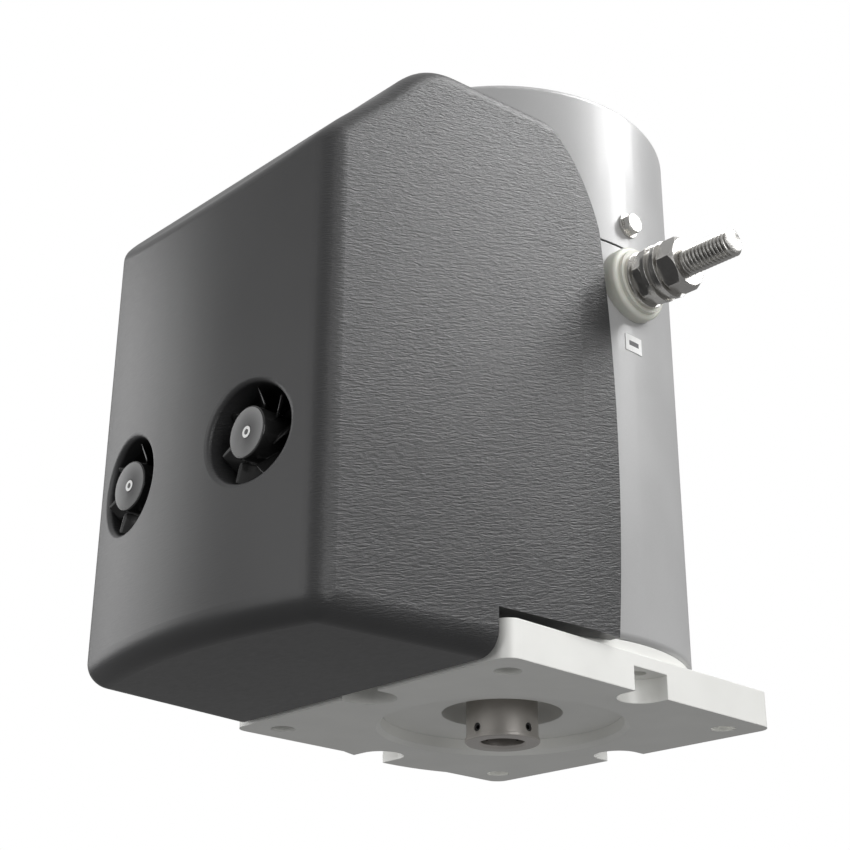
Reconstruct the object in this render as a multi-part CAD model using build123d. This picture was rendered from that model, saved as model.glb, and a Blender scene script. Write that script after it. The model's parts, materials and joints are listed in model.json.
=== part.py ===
from build123d import *
import math
import os

# Flange-mounted electric drive head for a garage door: an upright motor on a square cast flange,
# its coupling hub on the flange's axis, and an electronics cover with two cooling fans in front.
# Millimetres. Origin: hub axis at the flange's underside. +Z up the motor, -Y to the cover's front.

# ---- flange ----
PLATE_SIDE = 130.0
PLATE_THICK = 12.2
PLATE_CORNER_R = 5.0
BOLT_EDGE = 12.0
BOLT_HOLE_R = 4.25
NOTCH_WIDTH = 17.0
NOTCH_DEPTH = 13.0
POCKET_WIDTH = 16.4
POCKET_DEPTH = 12.0
POCKET_WEB = 4.2
POCKET_HOLE_R = 2.75
EDGE_PAD_REACH = 4.6
EDGE_PAD_LENGTH = 52.0
EDGE_PAD_Y = 11.0
RECESS_R = 41.6
RECESS_DEPTH = 5.3
RECESS_BEVEL = 1.6
PILOT_R = 20.7
PILOT_TOP = 13.0
LAND_INSET = 0.8
LAND_HEIGHT = 3.8
SPIGOT_HEIGHT = 5.0

# ---- motor can and end cap ----
CAN_R = 65.0
CAN_WALL = 5.0
CAN_SEAM_Z = 159.4
SEAM_GAP = 0.8
GASKET_RECESS = 0.3
CAP_HEIGHT = 59.1
CAN_EDGE_R = 2.4
LAP_WALL = 2.4
LAP_HEIGHT = 22.6
CAP_TOP_THICK = 10.5
SLIP = 0.1

# ---- bearings, seal and shaft ----
SHAFT_R = 8.5
SHAFT_MAIN_R = 10.0
SHAFT_TOP_R = 7.5
LOWER_BEARING_R = 20.0
LOWER_BEARING_WIDTH = 12.0
UPPER_BEARING_R = 17.5
UPPER_BEARING_WIDTH = 11.0
SEAL_R = 18.0
SEAL_WIDTH = 6.5
BEARING_SHOULDER = 1.0
BOSS_WALL = 6.0
SEAL_BODY_GAP = 2.2
SEAL_LIP_GAP = 0.06
SEAL_LIP = 1.5
BEARING_BALLS = 8
BALL_CLEARANCE = 0.03
CIRCLIP_THICK = 1.2
CIRCLIP_BITE = 1.0
WAVE_WASHER = 1.0

# ---- coupling hub ----
HUB_R = 12.3
HUB_DROP = 5.1
HUB_SOCKET_R = 7.5
HUB_SOCKET_DEPTH = 14.5
HUB_BEVEL = 0.8
HUB_RING_R = 12.8
HUB_RING_HEIGHT = 1.4
SET_SCREW_R = 1.5
SET_SCREW_RISE = 3.8
SET_SCREW_COUNT = 4
SET_SCREW_SOCKET_R = 0.75
SET_SCREW_SINK = 0.4
KEY_WIDTH = 5.0
KEY_HEIGHT = 5.0
KEY_LENGTH = 9.0

# ---- armature and field ----
ARMATURE_R = 45.0
ARMATURE_Z0 = 46.0
ARMATURE_LENGTH = 73.0
SLOT_COUNT = 16
SLOT_WIDTH = 5.0
SLOT_DEPTH = 13.0
SLOT_LINER = 0.2
WINDING_OVERHANG_LOW = 6.0
WINDING_OVERHANG_HIGH = 18.0
WINDING_R_OUT = 40.0
AIR_GAP = 1.0
MAGNET_COUNT = 4
MAGNET_HALF_ANGLE = 33.0
COMMUTATOR_R = 22.0
COMMUTATOR_SLEEVE_R = 14.0
COMMUTATOR_BARS = 24
COMMUTATOR_GAP = 0.7
COMMUTATOR_LENGTH = 24.0
COMMUTATOR_RISE = 2.0
COMMUTATOR_TO_BEARING = 6.0
BRUSH_COUNT = 4
BRUSH_TURN = 22.5
BRUSH_WIDTH = 9.0
BRUSH_HEIGHT = 12.0
BRUSH_LENGTH = 19.0
BRUSH_GAP = 0.08
BRUSH_HOLDER_WALL = 1.6
BRUSH_RING_THICK = 4.0
BRUSH_SPRING_R = 5.0

# ---- screws ----
CAP_SCREW_COUNT = 4
CAP_SCREW_R = 2.0
CAP_SCREW_FLATS = 7.0
CAP_SCREW_HEAD = 2.8
CAP_SCREW_FLANGE_R = 4.6
CAP_SCREW_FLANGE = 0.9
CAP_SCREW_RISE = 10.6
TIE_BOLT_R = 2.5
TIE_BOLT_HEAD_R = 4.25
TIE_BOLT_HEAD = 5.0
TIE_BOLT_INSET = 6.0
TIE_BOLT_CLEARANCE = 0.3
TIE_BOLT_COUNT = 4
TIE_BOLT_SINK = 1.0
TIE_BOLT_SOCKET_R = 2.0
TIE_BOLT_SOCKET_DEPTH = 3.0

# ---- power terminals, one each side ----
STUD_R = 5.0
THREAD_RELIEF = 0.4
STUD_FREE_LENGTH = 19.2
STUD_DROP = 13.9
STUD_HEAD_R = 8.5
STUD_HEAD = 3.5
INSULATOR_R = 13.5
INSULATOR_REACH = 4.2
INSULATOR_COLLAR_R = 11.6
INSULATOR_COLLAR = 1.5
INSULATOR_NECK_R = 8.0
INNER_BUSH_DEPTH = 5.5
LINK_THICK = 2.0
LINK_WIDTH = 16.0
PLAIN_WASHER_R = 10.2
PLAIN_WASHER = 1.6
SPRING_WASHER_R = 8.9
SPRING_WASHER = 2.4
NUT_FLATS = 17.0
THIN_NUT = 5.0
NUT = 7.4
LOCK_NUT_TURN = 34.0
CLAMP_NUT_TURN = 35.0
LABEL_WIDTH = 8.5
LABEL_HEIGHT = 6.2
LABEL_THICK = 0.25
LABEL_DROP = 22.5
MARK_WIDTH = 5.0
MARK_STROKE = 1.8

# ---- electronics cover ----
COVER_WALL = 2.0
COVER_SIDE_WALL = 1.9
COVER_TAPER = 10.2
COVER_TAPER_Y = -30.0
COVER_REACH = 66.0
COVER_BULGE = 9.0
COVER_CORNER_R = 9.0
COVER_BOTTOM = 0.5
COVER_BOTTOM_R = 7.8
COVER_TOP = 196.3
COVER_TOP_R = 6.0
COVER_TOP_REAR_Y = -46.0
COVER_ROOF_SETBACK = 50.0
BROW_MID_SETBACK = 22.0
BROW_MID_DROP = 17.7
BROW_END_REACH = 3.0
BROW_END_DROP = 44.8
COVER_STEP_GAP_Y = 2.3
COVER_STEP_GAP_Z = 2.6
COVER_REAR_LOW_Y = -17.0
COVER_REAR_MID_Y = -13.7
COVER_REAR_HIGH_Y = -18.5
COVER_REAR_MID_Z = 97.0
COVER_REAR_HIGH_Z = 160.0
COVER_REAR_SHOULDER = (-29.5, 181.0)
CAN_GAP = 0.3

# ---- fans ----
FAN_X = 29.8
FAN_Z = 59.6
FAN_MOUTH_R = 15.6
FAN_LIP_R = 1.7
FAN_COLLAR_WALL = 3.0
FAN_FRAME_EDGE = 4.4
FAN_FRAME_THICK = 10.0
FAN_FRAME_SETBACK = 0.5
FAN_HOLE_INSET = 4.0
FAN_HUB_R = 8.15
FAN_HUB_REACH = 6.5
FAN_BLADES = 7
FAN_BLADE_REACH = 4.1
FAN_BLADE_THICK = 1.2
FAN_BLADE_PITCH = 42.0
FAN_TIP_GAP = 0.7
FAN_PIN_R = 1.2
FAN_RUN_GAP = 0.3
FAN_FIT = 0.03
FAN_BASE_THICK = 1.4
FAN_STRUT_WIDTH = 2.4
FAN_SCREW_R = 1.3
FAN_SCREW_HEAD_R = 2.6
FAN_SCREW_HEAD = 1.8
FAN_BOSS_R = 3.4

# ---- electronics ----
BRACKET_GAP = 6.0
BRACKET_THICK = 2.0
BRACKET_HALF = 50.0
BRACKET_Z0 = 20.0
BRACKET_SHOULDER_Z = 180.0
BRACKET_FLANGE = 10.0
BRACKET_FLANGE_HALF = 36.0
COVER_SCREW_X = 26.0
COVER_SCREW_R = 2.0
COVER_SCREW_HEAD_R = 4.0
COVER_SCREW_HEAD = 2.2
COVER_SCREW_LENGTH = 10.0
COVER_SCREW_SOCKET_R = 1.5
COVER_SCREW_SOCKET_DEPTH = 1.4
SCREW_CLEARANCE = 0.2
SPACER_X = 22.0
SPACER_R = 4.5
SPACER_LOW_Z = 34.0
SPACER_HIGH_Z = 128.0
SINK_HALF = 44.0
SINK_BASE = 5.0
SINK_FIN_REACH = 26.0
SINK_FIN_THICK = 1.8
SINK_FINS = 11
SINK_Z0 = 26.0
SINK_FIN_TOP = 92.0
SINK_TOP = 120.0
CHIP_COUNT = 5
CHIP_SIZE = (12.0, 4.5, 16.0)
CHIP_Z = 97.0
BOARD_GAP = 19.0
BOARD_THICK = 1.6
BOARD_HALF = 47.0
BOARD_Z0 = 98.0
BOARD_Z1 = 176.0
BOARD_HOLE_INSET = 5.0
STANDOFF_R = 3.0
BOARD_SCREW_R = 1.5
CAPACITOR_R = 9.0
CAPACITOR_LENGTH = 24.0
CAPACITOR_COUNT = 4
CAPACITOR_Z = 112.0
RELAY_SIZE = (34.0, 16.0, 26.0)
RELAY_Z = 134.0
LEAD_R = 2.6
LEAD_X = 6.0
LEAD_Z = 148.0
LEAD_BEND_R = 6.0
LEAD_INSET = 10.0
GROMMET_R = 12.0
GROMMET_LIP = 2.0

# ---- heights and places worked out from the values above ----
HALF = PLATE_SIDE / 2
BOLT_SPACING = PLATE_SIDE - 2 * BOLT_EDGE
CAN_IN_R = CAN_R - CAN_WALL
CAN_Z0 = PLATE_THICK + LAND_HEIGHT
CAN_TOP = CAN_SEAM_Z + CAP_HEIGHT
CAP_SCREW_Z = CAN_SEAM_Z + CAP_SCREW_RISE
TIE_BOLT_CIRCLE_R = CAN_IN_R - TIE_BOLT_INSET
SEAL_TOP = PILOT_TOP + SEAL_WIDTH
LOWER_BEARING_Z = SEAL_TOP + BEARING_SHOULDER
LOWER_BEARING_TOP = LOWER_BEARING_Z + LOWER_BEARING_WIDTH
BOSS_TOP = LOWER_BEARING_TOP + 2 * CIRCLIP_THICK
ARMATURE_TOP = ARMATURE_Z0 + ARMATURE_LENGTH
LAP_TOP = CAN_SEAM_Z + LAP_HEIGHT
CAP_Z0 = CAN_SEAM_Z + SEAM_GAP
CAP_CEILING = CAN_TOP - CAP_TOP_THICK
BRUSH_RING_Z = LAP_TOP
BRUSH_RING_TOP = BRUSH_RING_Z + BRUSH_RING_THICK
COMMUTATOR_Z0 = BRUSH_RING_Z - COMMUTATOR_LENGTH + COMMUTATOR_RISE
COMMUTATOR_TOP = COMMUTATOR_Z0 + COMMUTATOR_LENGTH
UPPER_BEARING_Z = COMMUTATOR_TOP + COMMUTATOR_TO_BEARING
UPPER_BEARING_TOP = UPPER_BEARING_Z + UPPER_BEARING_WIDTH
HUB_STEP_Z = HUB_SOCKET_DEPTH - HUB_DROP
COVER_HALF_REAR = CAN_R + CAN_GAP + COVER_SIDE_WALL
COVER_HALF_FRONT = COVER_HALF_REAR - COVER_TAPER
COVER_CORNER_Y = -(CAN_R + COVER_REACH)
COVER_TOP_FRONT_Y = COVER_CORNER_Y + COVER_ROOF_SETBACK
COVER_BROW_MID = (COVER_CORNER_Y + BROW_MID_SETBACK, COVER_TOP - BROW_MID_DROP)
COVER_BROW_END = (COVER_CORNER_Y - BROW_END_REACH, COVER_TOP - BROW_END_DROP)
COVER_STEP_Y = -(max(HALF, CAN_R) + COVER_STEP_GAP_Y)
COVER_STEP_Z = PLATE_THICK + COVER_STEP_GAP_Z
BRACKET_Y = -(CAN_R + BRACKET_GAP)
BRACKET_FRONT = BRACKET_Y - BRACKET_THICK
BRACKET_TOP = COVER_TOP - COVER_WALL
BOARD_Y = BRACKET_FRONT - BOARD_GAP
BOARD_FRONT = BOARD_Y - BOARD_THICK
FAN_FRAME_SIDE = 2 * (FAN_MOUTH_R + FAN_FRAME_EDGE)
FAN_HOLE_SPACING = FAN_FRAME_SIDE - 2 * FAN_HOLE_INSET
FAN_FRAME_Y = COVER_CORNER_Y + FAN_FRAME_SETBACK
FAN_HUB_FRONT_Y = FAN_FRAME_Y - FAN_HUB_REACH
FAN_BLADE_FRONT_Y = FAN_FRAME_Y - FAN_BLADE_REACH
FAN_FRAME_REAR = FAN_FRAME_Y + FAN_FRAME_THICK
FAN_BASE_FRONT = FAN_FRAME_REAR - FAN_BASE_THICK
FAN_TIP_R = FAN_MOUTH_R - FAN_TIP_GAP
COLLAR_X = CAN_R + INSULATOR_REACH
WASHER_A_X = COLLAR_X + INSULATOR_COLLAR
THIN_NUT_X = WASHER_A_X + PLAIN_WASHER
WASHER_B_X = THIN_NUT_X + THIN_NUT
SPRING_X = WASHER_B_X + PLAIN_WASHER
WASHER_C_X = SPRING_X + SPRING_WASHER
NUT_X = WASHER_C_X + PLAIN_WASHER
STUD_FREE_X = NUT_X + NUT
STUD_TIP_X = STUD_FREE_X + STUD_FREE_LENGTH
STUD_CORE_R = STUD_R - THREAD_RELIEF
STUD_Z = CAN_SEAM_Z - STUD_DROP
LABEL_Z = STUD_Z - LABEL_DROP
LEAD_INNER_Y = -(CAN_IN_R - LEAD_INSET)
BUSH_INNER_X = CAN_IN_R - INNER_BUSH_DEPTH
LINK_X = BUSH_INNER_X - LINK_THICK
STUD_HEAD_X = LINK_X - STUD_HEAD

ON_BASE = (Align.CENTER, Align.CENTER, Align.MIN)


def disc(radius, z0, z1):
    """Upright cylinder on the motor axis."""
    return Pos(0, 0, z0) * Cylinder(radius, z1 - z0, align=ON_BASE)


def tube(outer, inner, z0, z1):
    """Upright ring on the motor axis."""
    return disc(outer, z0, z1) - disc(inner, z0 - 1, z1 + 1)


def block(x, y, z):
    """Box from three (low, high) pairs."""
    middle = ((x[0] + x[1]) / 2, (y[0] + y[1]) / 2, (z[0] + z[1]) / 2)
    return Pos(*middle) * Box(x[1] - x[0], y[1] - y[0], z[1] - z[0])


def rod_x(radius, x0, x1, y=0.0, z=0.0):
    """Round bar along +X."""
    return Pos(x0, y, z) * Rot(0, 90, 0) * Cylinder(radius, x1 - x0, align=ON_BASE)


def rod_y(radius, y0, y1, x=0.0, z=0.0):
    """Round bar along +Y."""
    return Pos(x, y1, z) * Rot(90, 0, 0) * Cylinder(radius, y1 - y0, align=ON_BASE)


def hex_x(flats, x0, x1, turn=0.0):
    """Hexagonal bar along +X."""
    outline = RegularPolygon(flats / 2, 6, major_radius=False)
    return Pos(x0, 0, 0) * Rot(0, 90, 0) * Rot(0, 0, turn) * extrude(outline, x1 - x0)


def hex_nut(flats, bore_r, x0, x1, turn):
    """Hex nut along X with its corners turned down to a cone on both faces."""
    corner_r = flats / math.sqrt(3)
    turned = chamfer(rod_x(corner_r, x0, x1).edges(), corner_r - flats / 2)
    return (hex_x(flats, x0, x1, turn) & turned) - rod_x(bore_r, x0 - 1, x1 + 1)


def around(shape, count, first=0.0):
    """Copies of a shape spaced evenly round the motor axis."""
    return [Rot(0, 0, first + 360 * i / count) * shape for i in range(count)]


def both_sides(shape):
    """The shape and its copy turned to the other side of the motor."""
    return [shape, Rot(0, 0, 180) * shape]


def join(shapes):
    """One solid from overlapping shapes."""
    total = shapes[0]
    for shape in shapes[1:]:
        total = total + shape
    return total


def save(name, shapes):
    """Write one node, whose solids stay separate."""
    if not isinstance(shapes, list):
        shapes = [shapes]
    solids = [solid for shape in shapes for solid in shape.solids()]
    export_step(Compound(solids), f"parts/{name}.step")


def edge_notch():
    """Open round-ended notch in the flange's front edge, right through the flange."""
    round_y = -HALF + NOTCH_DEPTH - NOTCH_WIDTH / 2
    slot = block((-NOTCH_WIDTH / 2, NOTCH_WIDTH / 2), (-HALF - 1, round_y), (-1, PLATE_THICK + 1))
    return slot + Pos(0, round_y, 0) * disc(NOTCH_WIDTH / 2, -1, PLATE_THICK + 1)


def edge_pocket():
    """Round-ended pocket at the flange's right edge, open below and to the side."""
    round_x = HALF - POCKET_DEPTH + POCKET_WIDTH / 2
    top = PLATE_THICK - POCKET_WEB
    reach = HALF + EDGE_PAD_REACH + 1
    slot = block((round_x, reach), (-POCKET_WIDTH / 2, POCKET_WIDTH / 2), (-1, top))
    slot = slot + Pos(round_x, 0, 0) * disc(POCKET_WIDTH / 2, -1, top)
    return slot + Pos(round_x - 1.5, 0, 0) * disc(POCKET_HOLE_R, -1, PLATE_THICK + 1)


def edge_pad():
    """Shallow rounded swelling of the flange's left edge."""
    radius = (EDGE_PAD_LENGTH**2 / 4 + EDGE_PAD_REACH**2) / (2 * EDGE_PAD_REACH)
    centre_x = -HALF - EDGE_PAD_REACH + radius
    round_pad = Pos(centre_x, EDGE_PAD_Y, 0) * disc(radius, 0, PLATE_THICK)
    keep = block((-HALF - EDGE_PAD_REACH - 1, -HALF + 6), (-HALF, HALF), (0, PLATE_THICK))
    return round_pad & keep


def base_plate():
    """Square cast flange with land and spigot for the can, seal seat and bearing boss."""
    plate = extrude(RectangleRounded(PLATE_SIDE, PLATE_SIDE, PLATE_CORNER_R), PLATE_THICK)
    land = disc(CAN_R - LAND_INSET, PLATE_THICK - 1, CAN_Z0)
    spigot = disc(CAN_IN_R - SLIP / 2, CAN_Z0 - 1, CAN_Z0 + SPIGOT_HEIGHT)
    boss = disc(LOWER_BEARING_R + BOSS_WALL, CAN_Z0, BOSS_TOP)
    body = plate + edge_pad() + land + spigot + boss
    recess = disc(RECESS_R, -1, RECESS_DEPTH)
    mouth = Pos(0, 0, -0.01) * Cone(
        RECESS_R + RECESS_BEVEL, RECESS_R, RECESS_BEVEL, align=ON_BASE
    )
    body = body - recess - mouth - disc(PILOT_R, 0, PILOT_TOP)
    body = body - disc(SEAL_R, PILOT_TOP - 1, SEAL_TOP)
    body = body - disc(HUB_R + 1.2, SEAL_TOP - 1, LOWER_BEARING_Z + 1)
    body = body - disc(LOWER_BEARING_R, LOWER_BEARING_Z, BOSS_TOP + 1)
    groove_top = LOWER_BEARING_TOP + CIRCLIP_THICK
    body = body - tube(LOWER_BEARING_R + CIRCLIP_BITE, 1, LOWER_BEARING_TOP, groove_top)
    for shape in both_sides(edge_notch()) + both_sides(edge_pocket()):
        body = body - shape
    half = BOLT_SPACING / 2
    for x in (-half, half):
        for y in (-half, half):
            body = body - Pos(x, y, 0) * disc(BOLT_HOLE_R, -1, PLATE_THICK + 1)
    blind = disc(TIE_BOLT_R, tie_bolt_tip() - 1, CAN_Z0 + SPIGOT_HEIGHT + 1)
    for hole in around(Pos(TIE_BOLT_CIRCLE_R, 0, 0) * blind, TIE_BOLT_COUNT, 45):
        body = body - hole
    return body


def motor_can():
    """Drawn steel can with a turned-down lap at its top for the end cap."""
    shell = disc(CAN_R, CAN_Z0, CAN_SEAM_Z)
    shell = fillet(shell.edges().group_by(Axis.Z)[0], CAN_EDGE_R)
    shell = shell + disc(CAN_IN_R + LAP_WALL, CAN_SEAM_Z - 1, LAP_TOP)
    shell = shell - disc(CAN_IN_R, CAN_Z0 - 1, LAP_TOP + 1)
    for hole in both_sides(rod_x(INSULATOR_NECK_R, CAN_IN_R - 8, CAN_R + 5, z=STUD_Z)):
        shell = shell - hole
    for hole in around(rod_x(CAP_SCREW_R, CAN_IN_R - 8, CAN_R, z=CAP_SCREW_Z), CAP_SCREW_COUNT):
        shell = shell - hole
    shell = shell - rod_y(GROMMET_R - GROMMET_LIP, -CAN_R - 5, -CAN_IN_R + 8, z=LEAD_Z)
    for x in (-SPACER_X, SPACER_X):
        for z in (SPACER_LOW_Z, SPACER_HIGH_Z):
            shell = shell - rod_y(COVER_SCREW_R, -CAN_R - 5, bracket_screw_tip(), x=x, z=z)
    return shell


def bracket_screw_tip():
    """How far the bracket screws reach: just short of the can's inner wall."""
    return -math.sqrt(CAN_IN_R**2 - SPACER_X**2) - 1.2


def end_cap():
    """Cast cap over the brush gear, lapped over the can, with the upper bearing's boss."""
    cap = disc(CAN_R, CAP_Z0, CAN_TOP)
    cap = fillet(cap.edges().group_by(Axis.Z)[-1], CAN_EDGE_R)
    cap = cap - disc(CAN_IN_R + LAP_WALL + SLIP, CAP_Z0 - 1, BRUSH_RING_TOP)
    cap = cap - disc(CAN_IN_R, BRUSH_RING_TOP - 1, CAP_CEILING)
    cap = cap + disc(UPPER_BEARING_R + BOSS_WALL, UPPER_BEARING_Z, CAP_CEILING + 1)
    cap = cap - disc(UPPER_BEARING_R, UPPER_BEARING_Z - 1, UPPER_BEARING_TOP + WAVE_WASHER)
    cap = cap - disc(SHAFT_TOP_R + 2, UPPER_BEARING_Z - 1, CAP_CEILING)
    screw_hole = rod_x(CAP_SCREW_R + SCREW_CLEARANCE, CAN_IN_R, CAN_R + 5, z=CAP_SCREW_Z)
    for hole in around(screw_hole, CAP_SCREW_COUNT):
        cap = cap - hole
    for hole in around(tie_bolt(TIE_BOLT_CLEARANCE, 3.0), TIE_BOLT_COUNT, 45):
        cap = cap - hole
    return cap


def cap_gasket():
    """Thin black gasket in the seam between the can's shoulder and the cap's skirt."""
    return tube(CAN_R - GASKET_RECESS, CAN_IN_R + LAP_WALL + SLIP, CAN_SEAM_Z, CAP_Z0)


def tie_bolt_tip():
    """Lower end of the tie bolts, inside the flange."""
    return RECESS_DEPTH + 4


def tie_bolt(extra=0.0, above=0.0):
    """Long cap screw from the end cap down into the flange; extra and above make its hole."""
    seat = CAN_TOP - TIE_BOLT_HEAD - TIE_BOLT_SINK
    shank = disc(TIE_BOLT_R + extra, tie_bolt_tip(), seat + 1)
    head = disc(TIE_BOLT_HEAD_R + extra, seat, seat + TIE_BOLT_HEAD + above)
    return Pos(TIE_BOLT_CIRCLE_R, 0, 0) * (shank + head)


def tie_bolts():
    """Four cap screws with hex sockets."""
    floor_z = CAN_TOP - TIE_BOLT_SINK - TIE_BOLT_SOCKET_DEPTH
    outline = RegularPolygon(TIE_BOLT_SOCKET_R, 6, major_radius=False)
    socket = Pos(TIE_BOLT_CIRCLE_R, 0, floor_z) * extrude(outline, TIE_BOLT_SOCKET_DEPTH + 1)
    return around(tie_bolt() - socket, TIE_BOLT_COUNT, 45)


def cap_screws():
    """Hex flange screws that clamp the cap's skirt to the can's lap."""
    seat = CAN_R
    flange_top = seat + CAP_SCREW_FLANGE
    flange = rod_x(CAP_SCREW_FLANGE_R, seat - 1, flange_top) - disc(CAN_R, -9, 9)
    head = hex_x(CAP_SCREW_FLATS, flange_top - 0.2, flange_top + CAP_SCREW_HEAD, 12)
    crown = rod_x(CAP_SCREW_FLATS / 2 + 0.4, flange_top - 1, flange_top + CAP_SCREW_HEAD)
    head = head & chamfer(crown.edges(), 0.5)
    shank = rod_x(CAP_SCREW_R, CAN_IN_R, flange_top)
    screw = flange + head + shank
    return around(Pos(0, 0, CAP_SCREW_Z) * screw, CAP_SCREW_COUNT)


def bearing_outer(outer_r, bore_r, z0, width):
    """Outer race with its ball groove."""
    pitch, ball_r = bearing_pitch(outer_r, bore_r)
    race_r = pitch + ball_r * 0.55
    groove = Pos(0, 0, z0 + width / 2) * Torus(pitch, ball_r + BALL_CLEARANCE)
    return tube(outer_r, race_r, z0, z0 + width) - groove


def bearing_inner(outer_r, bore_r, z0, width):
    """Inner race with its ball groove."""
    pitch, ball_r = bearing_pitch(outer_r, bore_r)
    race_r = pitch - ball_r * 0.55
    groove = Pos(0, 0, z0 + width / 2) * Torus(pitch, ball_r + BALL_CLEARANCE)
    return tube(race_r, bore_r, z0, z0 + width) - groove


def bearing_pitch(outer_r, bore_r):
    """Pitch radius and ball radius of a bearing from its two sizes."""
    return (outer_r + bore_r) / 2, (outer_r - bore_r) * 0.29


def bearing_balls(outer_r, bore_r, z0, width):
    """Ring of balls."""
    pitch, ball_r = bearing_pitch(outer_r, bore_r)
    ball = Pos(pitch, 0, z0 + width / 2) * Sphere(ball_r)
    return around(ball, BEARING_BALLS)


def both_bearings(make):
    """The same piece of the lower and the upper bearing."""
    lower = make(LOWER_BEARING_R, SHAFT_R, LOWER_BEARING_Z, LOWER_BEARING_WIDTH)
    upper = make(UPPER_BEARING_R, SHAFT_TOP_R, UPPER_BEARING_Z, UPPER_BEARING_WIDTH)
    return lower, upper


def oil_seal():
    """Lip seal round the hub in the flange's seal seat."""
    ring = tube(SEAL_R, HUB_R + SEAL_BODY_GAP, PILOT_TOP, SEAL_TOP)
    lip_z = PILOT_TOP + SEAL_LIP
    lip = tube(HUB_R + SEAL_BODY_GAP + 0.2, HUB_R + SEAL_LIP_GAP, lip_z, lip_z + SEAL_LIP)
    return ring + lip


def circlip():
    """Split ring over the lower bearing."""
    z0 = LOWER_BEARING_TOP
    ring = tube(LOWER_BEARING_R + CIRCLIP_BITE - 0.1, LOWER_BEARING_R - 2.2, z0, z0 + CIRCLIP_THICK)
    return ring - block((0, LOWER_BEARING_R + 5), (-3, 3), (z0 - 1, z0 + CIRCLIP_THICK + 1))


def wave_washer():
    """Preload washer over the upper bearing's outer race."""
    top = UPPER_BEARING_TOP + WAVE_WASHER
    return tube(UPPER_BEARING_R - 0.2, UPPER_BEARING_R - 3.0, UPPER_BEARING_TOP, top)


def shaft():
    """Stepped armature shaft, from inside the hub to the upper bearing."""
    low = disc(SHAFT_R, HUB_STEP_Z, LOWER_BEARING_TOP)
    main = disc(SHAFT_MAIN_R, LOWER_BEARING_TOP, UPPER_BEARING_Z)
    top = disc(SHAFT_TOP_R, UPPER_BEARING_Z, UPPER_BEARING_TOP + 1.5)
    top = chamfer(top.edges().group_by(Axis.Z)[-1], 0.8)
    return low + main + top - hub_key()


def hub_key():
    """Parallel key between shaft and hub."""
    x0 = SHAFT_R - KEY_HEIGHT / 2
    z0 = HUB_STEP_Z + 1
    return block((x0, x0 + KEY_HEIGHT), (-KEY_WIDTH / 2, KEY_WIDTH / 2), (z0, z0 + KEY_LENGTH))


def output_hub():
    """Coupling hub: keyed to the shaft above, open socket for the driven shaft below."""
    hub = disc(HUB_R, -HUB_DROP, LOWER_BEARING_Z)
    ring = disc(HUB_RING_R, -HUB_DROP, -HUB_DROP + HUB_RING_HEIGHT)
    hub = hub + chamfer(ring.edges().group_by(Axis.Z)[0], 0.4)
    hub = hub - disc(HUB_SOCKET_R, -HUB_DROP - 1, HUB_STEP_Z)
    hub = hub - disc(SHAFT_R, HUB_STEP_Z, LOWER_BEARING_Z + 1)
    bevel = Pos(0, 0, -HUB_DROP) * Cone(
        HUB_SOCKET_R + HUB_BEVEL, HUB_SOCKET_R, HUB_BEVEL, align=ON_BASE
    )
    hub = hub - bevel - hub_key()
    for hole in around(set_screw(0.0, HUB_SOCKET_R - 1, HUB_R + 1), SET_SCREW_COUNT):
        hub = hub - hole
    return hub


def set_screw(socket_r, r0, r1):
    """Headless screw in the hub's wall, with an optional hex socket."""
    screw = rod_x(SET_SCREW_R, r0, r1, z=SET_SCREW_RISE - HUB_DROP)
    if socket_r > 0:
        screw = screw - Pos(0, 0, SET_SCREW_RISE - HUB_DROP) * hex_x(socket_r * 2, r1 - 1.4, r1 + 1)
    return screw


def slotted_core():
    """Laminated armature core with open slots."""
    core = tube(ARMATURE_R, SHAFT_MAIN_R, ARMATURE_Z0, ARMATURE_TOP)
    cut = block(
        (ARMATURE_R - SLOT_DEPTH, ARMATURE_R + 1),
        (-SLOT_WIDTH / 2, SLOT_WIDTH / 2),
        (ARMATURE_Z0 - 1, ARMATURE_TOP + 1),
    )
    for slot in around(cut, SLOT_COUNT):
        core = core - slot
    return core


def windings():
    """Copper bars in the slots joined by the rounded end turns."""
    inner_r = SHAFT_MAIN_R + 5
    low = tube(WINDING_R_OUT, inner_r, ARMATURE_Z0 - WINDING_OVERHANG_LOW, ARMATURE_Z0)
    low = fillet(low.edges().group_by(Axis.Z)[0], 2.5)
    high = tube(WINDING_R_OUT, inner_r, ARMATURE_TOP, ARMATURE_TOP + WINDING_OVERHANG_HIGH)
    high = fillet(high.edges().group_by(Axis.Z)[-1], 6.0)
    bar = block(
        (ARMATURE_R - SLOT_DEPTH + SLOT_LINER, WINDING_R_OUT - 0.5),
        (-SLOT_WIDTH / 2 + SLOT_LINER, SLOT_WIDTH / 2 - SLOT_LINER),
        (ARMATURE_Z0 - 1, ARMATURE_TOP + 1),
    )
    return join([low, high] + around(bar, SLOT_COUNT))


def commutator_bars():
    """Separate copper bars round the insulating sleeve."""
    ring = tube(COMMUTATOR_R, COMMUTATOR_SLEEVE_R, COMMUTATOR_Z0, COMMUTATOR_TOP)
    half_gap = COMMUTATOR_GAP / 2
    cut = block((0, COMMUTATOR_R + 1), (-half_gap, half_gap), (COMMUTATOR_Z0 - 1, COMMUTATOR_TOP + 1))
    for gap in around(cut, COMMUTATOR_BARS):
        ring = ring - gap
    return ring


def magnets():
    """Arc magnets bonded inside the can, spaced round the armature."""
    ring = tube(CAN_IN_R, ARMATURE_R + AIR_GAP, ARMATURE_Z0 - 2, ARMATURE_TOP + 2)
    reach = CAN_R * 2
    angle = math.radians(MAGNET_HALF_ANGLE)
    corner = (reach * math.cos(angle), reach * math.sin(angle))
    outline = make_face(Polyline((0, 0), corner, (corner[0], -corner[1]), (0, 0)))
    wedge = Pos(0, 0, ARMATURE_Z0 - 3) * extrude(outline, ARMATURE_LENGTH + 6)
    return around(ring & wedge, MAGNET_COUNT)


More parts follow.
